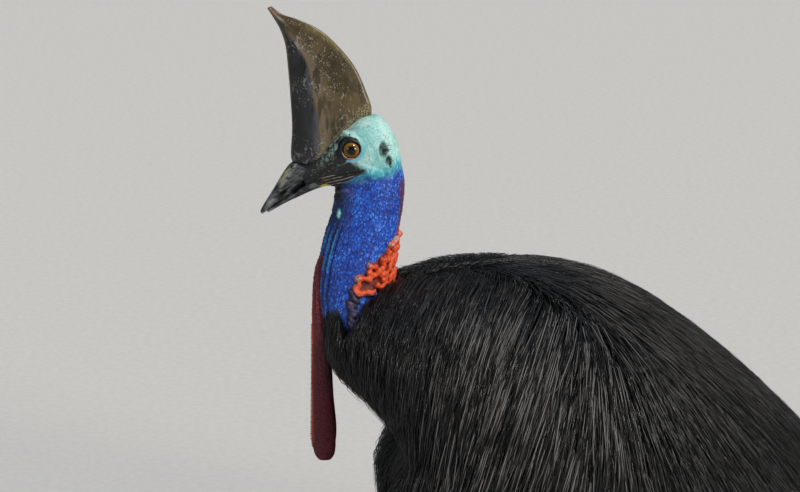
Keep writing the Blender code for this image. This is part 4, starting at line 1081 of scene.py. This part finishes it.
# Plumage
coatSizes = {
    "seed": 7, "formVoxel": 0.011, "inward": 0.0035, "tufts": 9000, "strandsPerTuft": 12, "length": 0.150,
    "spread": 0.0085, "width": 0.00072, "depth": 0.024, "pinch": 0.34, "strandsPerPiece": 12000,
    "floorClear": 0.0025, "floorSpread": 0.006, "neckCrowd": 3.0, "spineCrowd": 1.2, "steps": 9,
    "patch": 0.003, "swing": 0.10, "lengths": (0.72, 1.12), "reaches": (0.66, 1.0), "neckShorter": 0.55,
    "frontLength": 0.74, "sideways": 0.62, "onward": 1.4, "sunk": 0.0042, "bow": 0.0022,
    "wispShare": 0.10, "wisps": (0.001, 0.004),
}
# how far the form that carries the strands is set off from the rows of body, legs and neck
formFit = {"top": 0.0016, "breast": 0.0060, "knee": 0.008, "neck": 0.0035}
strandShares = np.array([0.0, 0.34, 0.70, 1.0])  # where the rings of a strand and its tip lie along it
strandWidths = np.array([0.32, 1.0, 0.80])
lieForm = [  # x, degrees back from straight down
    (-0.10, -36), (0.0, -32), (0.06, -23), (0.12, -20), (0.19, -16), (0.25, 0),
    (0.31, 17), (0.385, 32), (0.455, 44), (0.60, 54),
]
# the same along the spine
spineLie = [(-0.02, 55), (0.05, 66), (0.12, 70), (0.20, 73), (0.32, 76), (0.60, 74)]
spineSpread = [  # x, degrees from the spine that it reaches
    (0.0, 8), (0.08, 9), (0.13, 15), (0.18, 26), (0.26, 46), (0.60, 60),
]
neckEdge = [  # x and z of the line on the neck down to which its skin is bare
    (-0.120, 0.405), (-0.100, 0.420), (-0.089, 0.436), (-0.077, 0.449), (-0.068, 0.432), (-0.058, 0.412),
    (-0.051, 0.422), (-0.045, 0.448), (-0.036, 0.457), (-0.018, 0.467), (-0.004, 0.482), (0.010, 0.486),
    (0.030, 0.510),
]


def coatForm():
    # one closed form through the tips of the plumage, over body, legs and the foot of the neck
    mesh = bmesh.new()
    rows = np.array(smoothRows(bodyForm, 3))
    x = rows[:, 0]
    rows[:, 1] -= formFit["top"] * smoothStep(-0.06, -0.02, x) * smoothStep(0.42, 0.32, x)
    rows[:, 2] += formFit["breast"] * smoothStep(-0.09, -0.06, x) * smoothStep(0.03, -0.02, x)
    loftInto(mesh, bodyRows(rows), 72, square=0.92)
    for side in sides.values():
        legs = smoothRows(legForm, 3)
        rows = [(x + formFit["knee"] * (x < 0.03), side * y, z, wide, high) for x, y, z, wide, high in legs]
        loftInto(mesh, tubeRows(rows, (0, 0, 1)), 36)
    more = formFit["neck"]
    foot = [(x, z, depth + more, width + more) for x, z, depth, width in neckForm if z < 0.50]
    loftInto(mesh, neckRows(smoothRows(foot, 4)), 36)
    form = remeshed(linked("coatForm", outwards(mesh)), coatSizes["formVoxel"])
    mesh = bmesh.new()
    mesh.from_mesh(form.data)
    everyWay = {"use_axis_x": True, "use_axis_y": True, "use_axis_z": True}
    for _ in range(4):
        bmesh.ops.smooth_vert(mesh, verts=mesh.verts, factor=0.5, **everyWay)
    bmesh.ops.triangulate(mesh, faces=mesh.faces)
    removed(form)
    return mesh


def neckShare(points):
    # under 1 inside the neck
    x, halfDepth, halfWidth = neckAt(points[..., 2])
    inside = ((points[..., 0] - x) / halfDepth) ** 2 + (points[..., 1] / halfWidth) ** 2
    return np.where(points[..., 2] > 0.372, inside, 9.0)


def nearNeck(share):
    # 1 on the neck, down to 0 where the plumage is free of it
    return smoothStep(2.2, 1.05, share)


def wattleShare(points):
    # under 1 inside a wattle
    x, y, z = (points[..., k] for k in range(3))
    levels = [(-row[2], *row) for row in wattleForm]
    middle, apart, wide, thick = (columnAt(levels, -z, k) for k in (1, 2, 4, 5))
    inside = ((x - middle) / (wide + 0.001)) ** 2 + ((np.abs(y) - apart) / (thick + 0.001)) ** 2
    return np.where((z > 0.25) & (z < 0.49), inside, 9.0)


def leanAt(point):
    # how far the plumage leans back, which changes with the turn from the spine
    x = point.x
    top, bottom, halfWidth = (columnAt(bodyForm, x, k) for k in (1, 2, 3))
    rise = (point.z - (top + bottom) / 2) / (top - bottom) * 2
    turn = math.degrees(math.atan2(abs(point.y) / halfWidth, rise))
    onSide, onTop, spread = (np.interp(x, *zip(*rows)) for rows in (lieForm, spineLie, spineSpread))
    return math.radians(onSide + (onTop - onSide) * float(smoothStep(spread, spread * 0.28, turn)))


def lieAt(point, normal, side):
    # the way that the plumage runs, parted along the spine over the shoulders
    lean = leanAt(point) * (1 - 0.9 * max(-normal.x, 0))
    parted = float(smoothStep(0.17, 0.07, point.x))
    apart = (0.42 + 0.95 * parted) * max(normal.z, 0) * min(1, 0.15 + abs(point.y) / (0.06 - 0.04 * parted))
    way = Vector((math.sin(lean), side * apart, -math.cos(lean)))
    inward = way.dot(normal)
    way -= normal * inward * (1 if inward < 0 or point.x < 0.03 else 0.6)
    return way.normalized()


def pickedFaces(mesh, random):
    # an even choice of the form's faces, denser round the neck and along the spine
    areas = np.array([face.calc_area() for face in mesh.faces])
    middles = np.array([face.calc_center_median() for face in mesh.faces])
    areas *= 1 + coatSizes["neckCrowd"] * smoothStep(3.0, 1.4, neckShare(middles))
    x, y, z = middles.T
    onSpine = (z > 0.42) & (x > 0) & (x < 0.22)
    areas *= 1 + coatSizes["spineCrowd"] * onSpine * smoothStep(0.045, 0.015, np.abs(y))
    total = areas.cumsum()
    count = coatSizes["tufts"]
    picks = np.searchsorted(total, (np.arange(count) + random.random(count)) / count * total[-1])
    mesh.faces.ensure_lookup_table()
    return [mesh.faces[min(pick, len(areas) - 1)] for pick in picks]


def guideLine(tree, here, length, depth, inward, swing):
    # follows the lie of the plumage over the form, from a sunken root up to its surface
    side = -1 if here.y < 0 else 1
    last = coatSizes["steps"] - 1
    line, out = [], []
    for k in range(last + 1):
        spot, normal, _, _ = tree.find_nearest(here)
        away = max((here - spot).dot(normal), 0)
        base = spot + normal * min(away * 0.4, 0.003 if here.x < 0.03 else 1)
        rise = min(1, (k / last) / 0.42)
        sunk = inward + depth * (1 - rise * (2 - rise))
        line.append(base - normal * sunk)
        out.append(normal.copy())
        way = lieAt(spot, normal, side)
        way = (way + way.cross(normal) * swing * (k / (last + 1))).normalized()
        here = base + way * (length / last)
    return line, out


def guideLines(mesh, random):
    # where each tuft grows, and the way it runs over the form
    tree = treeOf(mesh)
    lines, outs = [], []
    for face in pickedFaces(mesh, random):
        a, b, c = (vertex.co for vertex in face.verts)
        first, second = random.random(2)
        if first + second > 1:
            first, second = 1 - first, 1 - second
        root = a + (b - a) * first + (c - a) * second
        swing = random.normal(0, coatSizes["swing"])
        length = coatSizes["length"] * random.uniform(*coatSizes["lengths"])
        share = float(neckShare(np.array(root)))
        if root.z < 0.012 or (share < 1.5 and root.z > columnAt(neckEdge, root.x, 1) - 0.004):
            continue
        near = float(nearNeck(share))
        length *= (1 - coatSizes["neckShorter"] * near) * (coatSizes["frontLength"] if root.x < 0.02 else 1)
        onTop = max(face.normal.z, 0) ** 4
        depth = coatSizes["depth"] * (1 - 0.92 * near) * (1 - 0.75 * onTop)
        inward = (coatSizes["inward"] + 0.0030 * onTop) * (1 - near)
        line, out = guideLine(tree, root, length, depth, inward, swing)
        lines.append(line)
        outs.append(out)
    return np.array(lines), np.array(outs)


def unit(vectors):
    return vectors / (np.linalg.norm(vectors, axis=-1, keepdims=True) + 1e-9)


def strandsOf(lines, outs, random):
    # spreads the strands of each tuft round its line, drawn together towards its tip
    tuft = np.repeat(np.arange(len(lines)), coatSizes["strandsPerTuft"])
    count = len(tuft)
    along = lines[:, 2] - lines[:, 0]
    along = unit(along - outs[:, 0] * (along * outs[:, 0]).sum(axis=1, keepdims=True))
    across = unit(np.cross(along, outs[:, 0]))
    sideways = random.normal(0, coatSizes["sideways"], count) * coatSizes["spread"]
    onward = random.uniform(-1, 1, count) * coatSizes["spread"] * coatSizes["onward"]
    offset = across[tuft] * sideways[:, None] + along[tuft] * onward[:, None]
    reach = random.uniform(*coatSizes["reaches"], count)
    place = strandShares[None, :] * reach[:, None] * (lines.shape[1] - 1)
    low = np.minimum(place.astype(int), lines.shape[1] - 2)
    part = (place - low)[..., None]
    path = lines[tuft[:, None], low] * (1 - part) + lines[tuft[:, None], low + 1] * part
    out = outs[tuft[:, None], low] * (1 - part) + outs[tuft[:, None], low + 1] * part
    path = path + offset[:, None, :] * (1 - coatSizes["pinch"] * strandShares[None, :, None] ** 1.3)
    # some strands lie deeper, a few stand up as wisps, and each bows a little
    sunk = np.abs(random.normal(0, coatSizes["sunk"], count)) * (1 - 0.8 * nearNeck(neckShare(path[:, 0])))
    standing = random.random(count) < coatSizes["wispShare"]
    wisp = np.where(standing, random.uniform(*coatSizes["wisps"], count), 0)
    lift = -sunk[:, None] * np.minimum(strandShares * 2, 1)[None, :]
    lift = lift + wisp[:, None] * strandShares[None, :] ** 3
    bow = random.normal(0, coatSizes["bow"], count)[:, None] * np.sin(strandShares * math.pi)[None, :]
    path = path + out * lift[..., None] + across[tuft][:, None, :] * bow[..., None]
    lowest = coatSizes["floorClear"] + random.random(count)[:, None] * coatSizes["floorSpread"]
    path[..., 2] = np.maximum(path[..., 2], lowest)
    # none runs into the neck or a wattle, or over the bare skin
    clear = (neckShare(path[:, 1:]) > 0.97).all(axis=1) & (wattleShare(path) > 1).all(axis=1)
    onBare = (neckShare(path) < 2.2) & (path[..., 2] > columnAt(neckEdge, path[..., 0], 1) + 0.003)
    clear &= ~onBare.any(axis=1)
    return path[clear], out[clear]


def strandFaces():
    # the triangles of one strand: a root, two sleeves of three sides, and a tip
    faces = [(0, 1, 2)]
    for k in range(2):
        for j in range(3):
            a, b = 3 * k + j, 3 * k + (j + 1) % 3
            faces += [(a, a + 3, b + 3), (a, b + 3, b)]
    faces += [(6 + j, 9, 6 + (j + 1) % 3) for j in range(3)]
    return np.array(faces)


def strandPiece(name, path, out, width, roots, finish, slot):
    # tapered strands with three edges, each its own patch of the map at the place of its root
    count, each = len(path), 10
    along = unit(np.gradient(path, axis=1))
    across = unit(np.cross(along, out))
    up = np.cross(across, along)
    half = (width[:, None] * strandWidths[None, :])[..., None]
    body = path[:, :3]
    across, up = across[:, :3] * half, up[:, :3] * half
    edges = np.stack([body + across - up * 0.15, body + up * 0.45, body - across - up * 0.15], axis=2)
    points = np.concatenate([edges.reshape(count, each - 1, 3), path[:, 3:4]], axis=1)
    corners = (strandFaces()[None] + np.arange(count)[:, None, None] * each).reshape(-1)
    mesh = bpy.data.meshes.new(name)
    mesh.vertices.add(count * each)
    mesh.vertices.foreach_set("co", points.ravel())
    mesh.loops.add(len(corners))
    mesh.loops.foreach_set("vertex_index", corners.astype(np.int32))
    mesh.polygons.add(len(corners) // 3)
    mesh.polygons.foreach_set("loop_start", np.arange(0, len(corners), 3, dtype=np.int32))
    mesh.update(calc_edges=True)
    lengthwise = np.append(np.repeat(strandShares[:3], 3), 1.0)
    patch = np.stack([np.append(np.tile([0, 0.5, 1], 3), 0.5), lengthwise], axis=1)
    places = roots[:, None, :] + patch[None] * coatSizes["patch"]
    layer = mesh.uv_layers.new(name="OFBake")
    layer.data.foreach_set("uv", places.reshape(-1, 2)[corners].ravel())
    obj = bpy.data.objects.new(name, mesh)
    bpy.context.scene.collection.objects.link(obj)
    attributeOn(obj, "along", np.tile(lengthwise, count))
    tone = (np.sin(path[:, 0, 0] * 9137 + path[:, 0, 1] * 7411 + path[:, 0, 2] * 5231) + 1) / 2
    attributeOn(obj, "tone", np.repeat(tone, each))
    return handedIn(obj, finish, slot)


def unwrapped(points):
    # the body's own unwrap: along it, and round it from the belly
    x, y, z = points.T
    middle = (columnAt(bodyForm, x, 1) + columnAt(bodyForm, x, 2)) / 2
    turn = np.arctan2(y, z - middle) / math.tau + 0.5
    return np.stack([(x + 0.14) / 0.86, turn], axis=1) * 0.98 + 0.008


def makeCoat(mesh, finish):
    random = np.random.default_rng(coatSizes["seed"])
    lines, outs = guideLines(mesh, random)
    path, out = strandsOf(lines, outs, random)
    width = coatSizes["width"] * random.uniform(0.75, 1.25, len(path))
    most = coatSizes["strandsPerPiece"]
    made = 0
    for side, sign in sides.items():
        mine = np.nonzero(path[:, 0, 1] * sign > 0)[0]
        mine = mine[np.argsort(path[mine, 0, 0])]
        for number, start in enumerate(range(0, len(mine), most)):
            part = mine[start:start + most]
            name = f"coat{side.capitalize()}{number + 1}"
            roots = unwrapped(path[part, 0])
            strandPiece(name, path[part], out[part], width[part], roots, finish, "plumage")
            made += len(part)
    print("coat:", len(lines), "tufts,", made, "strands,", made * len(strandFaces()), "triangles")


def coatFinish():
    f = Finish("coatFinish", Specular_IOR_Level=0.46)
    tone, along = f.attribute("tone"), f.attribute("along")
    shade = tone * 0.7 + f.between(f.noise(7, 3), 0.4, 0.65) * 0.3
    f.colour = f.mix((0.0022, 0.0024, 0.0032), (0.0070, 0.0066, 0.0070), shade)
    # a painted sheen makes the flank paler than the breast and the back
    flankSheen = f.between(f.x + (f.noise(11, 3) - 0.5) * 0.10, 0.00, 0.09)
    flankSheen = flankSheen * f.between(f.x, 0.34, 0.22) * f.between(f.z, 0.49, 0.45)
    pale = f.mix((0.030, 0.029, 0.030), (0.125, 0.118, 0.114), flankSheen)
    # pale strands of their own tone, more of them and paler on the flank from the painted sheen
    f.paint(pale, f.between(tone + flankSheen * 0.22, 0.88, 1.06) * f.between(along, 0.1, 0.5))
    f.paint((0.020, 0.017, 0.015), f.between(along, 0.55, 1.0) * tone)
    return f.wear(0.27 + tone * 0.12)


# Bristles of the face
bristleSizes = {"seed": 5, "width": 0.00030, "sunk": 0.0010}
# start x and z, end x and z, spread, count, length, degrees up from the rear, share that stands out
bristleRows = [
    (-0.106, 0.606, -0.062, 0.652, 0.0022, 120, 0.0062, 62, 0.30),  # between bill and brow
    (-0.104, 0.600, -0.072, 0.628, 0.0060, 90, 0.0055, 40, 0.35),  # the lores
    (-0.100, 0.5935, -0.048, 0.6120, 0.0015, 70, 0.0045, 25, 0.40),  # along the mouth
    (-0.090, 0.6060, -0.070, 0.6160, 0.0060, 60, 0.0050, 20, 0.35),  # below the eye
    (-0.0204, 0.6300, -0.0204, 0.6430, 0.0030, 60, 0.0075, -20, 0.45),  # the upper ear
    (-0.0137, 0.6180, -0.0137, 0.6270, 0.0026, 45, 0.0065, -35, 0.45),  # the lower ear
    (-0.046, 0.664, -0.004, 0.640, 0.0060, 60, 0.0045, -10, 0.30),  # the crown
    (-0.030, 0.600, -0.010, 0.580, 0.0100, 50, 0.0050, -60, 0.30),  # below the ears
]


def makeBristles(skin, finish):
    # stiff hairs stand on the lores, round the gape and the ears, and a few on the crown
    random = np.random.default_rng(bristleSizes["seed"])
    mesh = bmesh.new()
    mesh.from_mesh(skin.data)
    bmesh.ops.translate(mesh, verts=mesh.verts, vec=(-shiftX, 0, 0))
    tree = treeOf(mesh)
    mesh.free()
    lines, outs = [], []
    for startX, startZ, endX, endZ, spread, count, length, degrees, standing in bristleRows:
        for side in sides.values():
            for share in random.random(count):
                x = startX + (endX - startX) * share + random.normal(0, spread * 0.5)
                z = startZ + (endZ - startZ) * share + random.normal(0, spread * 0.5)
                hit, normal = tree.ray_cast(Vector((x, side * 0.1, z)), Vector((0, -side, 0)))[:2]
                if hit is None or abs(hit.y) < 0.008:
                    continue
                turn = math.radians(degrees + random.normal(0, 16))
                way = Vector((math.cos(turn), 0, math.sin(turn)))
                way = (way - normal * way.dot(normal)).normalized() + normal * standing
                size = length * random.uniform(0.6, 1.15)
                root = hit - normal * bristleSizes["sunk"]
                steps = [root + way * (size * float(k)) for k in strandShares]
                steps[3] -= normal * size * 0.12
                lines.append(steps)
                outs.append([normal] * 4)
    lines, outs = np.array(lines), np.array(outs)
    width = bristleSizes["width"] * random.uniform(0.7, 1.2, len(lines))
    x, y, z = lines[:, 0].T
    roots = np.stack([(x + 0.12) / 0.26 + (y > 0) * 0.5, (z - 0.55) / 0.13], axis=1)
    strandPiece("bristles", lines, outs, width, roots * 0.98 + 0.005, finish, "plumage")
    print("bristles:", len(lines))


def bristleFinish():
    f = Finish("bristleFinish", Roughness=0.45)
    f.colour = f.mix((0.010, 0.010, 0.010), (0.26, 0.24, 0.15), f.between(f.attribute("tone"), 0.74, 0.94))
    return f.wear()


# Wings
wingForm = [  # x, z, half depth, half height of the bare lobe
    (0.066, 0.214, 0.0030, 0.004), (0.084, 0.208, 0.0065, 0.009), (0.106, 0.200, 0.0075, 0.011),
    (0.128, 0.191, 0.0065, 0.010), (0.147, 0.182, 0.0040, 0.006),
]
quillForm = [  # start x and z, end x and z, how far it bows back, radius
    (0.092, 0.196, 0.132, 0.052, 0.016, 0.0026), (0.106, 0.192, 0.166, 0.046, 0.020, 0.0030),
    (0.120, 0.188, 0.200, 0.050, 0.024, 0.0031), (0.132, 0.184, 0.228, 0.066, 0.024, 0.0028),
    (0.142, 0.180, 0.244, 0.092, 0.020, 0.0024),
]


def makeWing(side, tree, finish):
    def beside(x, z, standOff):
        hit = tree.ray_cast(Vector((x, sides[side] * 0.6, z)), Vector((0, -sides[side], 0)))[0]
        return (x, hit.y + sides[side] * standOff, z)

    mesh = bmesh.new()
    rows = [(*beside(x, z, 0.001), depth, height) for x, z, depth, height in smoothRows(wingForm, 4)]
    loftInto(mesh, tubeRows(rows, (0, 0, 1)), 20)
    for startX, startZ, endX, endZ, bow, radius in quillForm:
        rows = []
        for t in np.linspace(0, 1, 15):
            x = startX + (endX - startX) * t + bow * math.sin(math.pi * t)
            z = startZ + (endZ - startZ) * t
            size = radius * (1 - 0.82 * t**2)
            rows.append((*beside(x, z, 0.003 + 0.004 * math.sin(math.pi * min(t, 0.9))), size, size))
        loftInto(mesh, tubeRows(rows, (1, 0, 0)), 10)
    wing = linked("wingQuills" + side.capitalize(), outwards(mesh))
    return handedIn(wing, finish, "quill", "wing_" + side)


def quillFinish():
    f = Finish("quillFinish", Specular_IOR_Level=0.5)
    grain = f.noise(300, 4, (1, 1, 0.3))
    f.colour = f.mix((0.008, 0.007, 0.007), (0.026, 0.023, 0.020), f.between(grain, 0.42, 0.66))
    return f.wear(0.36 + (grain - 0.5) * 0.3, f.bump(grain, 0.0004, 0.3))


# Floor, light and camera
studio = {
    "floor": 60.0, "floorColour": (0.55, 0.537, 0.518), "floorGrain": (0.58, 0.567, 0.548),
    "world": (0.80, 0.86, 0.94), "worldStrength": 0.19,
}
lamps = [  # name, the way that it shines from, softness, strength, colour
    ("key", (1.7, -1.6, 2.6), 0.26, 2.70, (1.0, 0.96, 0.90)),
    ("sheen", (-2.6, -2.4, 0.75), 0.38, 0.38, (0.88, 0.94, 1.0)),
    ("side", (2.7, -2.2, 0.66), 0.26, 1.45, (1.0, 0.96, 0.92)),
    ("sky", (-0.5, 0.9, 3.0), 0.70, 0.56, (0.72, 0.86, 1.0)),
]
lens = {"height": 0.511, "distance": 4.0, "elevation": 14, "millimetres": 150, "sensor": 36}


def makeFloor():
    mesh = bmesh.new()
    bmesh.ops.create_grid(mesh, x_segments=8, y_segments=8, size=studio["floor"] / 2)
    floor = linked("floor", mesh)
    f = Finish("floorFinish", Roughness=0.8)
    f.colour = f.mix(studio["floorColour"], studio["floorGrain"], f.between(f.noise(90, 3), 0.35, 0.65))
    floor.data.materials.append(f.wear())


def makeLights():
    world = bpy.data.worlds.new("studio")
    world.use_nodes = True
    back = world.node_tree.nodes["Background"]
    back.inputs["Color"].default_value = (*studio["world"], 1)
    back.inputs["Strength"].default_value = studio["worldStrength"]
    bpy.context.scene.world = world
    for name, way, softness, strength, colour in lamps:
        data = bpy.data.lights.new(name, "SUN")
        data.energy, data.color, data.angle = strength, colour, softness
        lamp = bpy.data.objects.new(name, data)
        lamp.location = way
        lamp.rotation_euler = Vector(way).to_track_quat("Z", "Y").to_euler()
        bpy.context.scene.collection.objects.link(lamp)


def makeCamera():
    data = bpy.data.cameras.new("camera")
    data.lens, data.sensor_width = lens["millimetres"], lens["sensor"]
    camera = bpy.data.objects.new("camera", data)
    target = Vector((shiftX, 0, lens["height"]))
    lean = math.radians(lens["elevation"])
    camera.location = target + Vector((0, -math.cos(lean), math.sin(lean))) * lens["distance"]
    camera.rotation_euler = (target - camera.location).to_track_quat("-Z", "Y").to_euler()
    bpy.context.scene.collection.objects.link(camera)
    bpy.context.scene.camera = camera
    bpy.context.scene.view_settings.view_transform = "Standard"


makeFloor()
makeLights()
makeCamera()
print("studio: ready")
skin = makeSkin(skinFinish())
makeBristles(skin, bristleFinish())
makeCasque(casqueFinish())
billSurface = billFinish()
makeBill("billUpper", billUpperForm, billSurface)
makeBill("billLower", billLowerForm, billSurface)
eyeSurface = eyeFinish()
clawSurface = clawFinish()
for side in sides:
    makeEye(side, eyeSurface)
    for name in toeForm:
        makeClaw(side, name, clawSurface)
print("bill, eyes and claws: ready")
form = coatForm()
formTree = treeOf(form)
quillSurface = quillFinish()
for side in sides:
    makeWing(side, formTree, quillSurface)
makeCoat(form, coatFinish())
form.free()
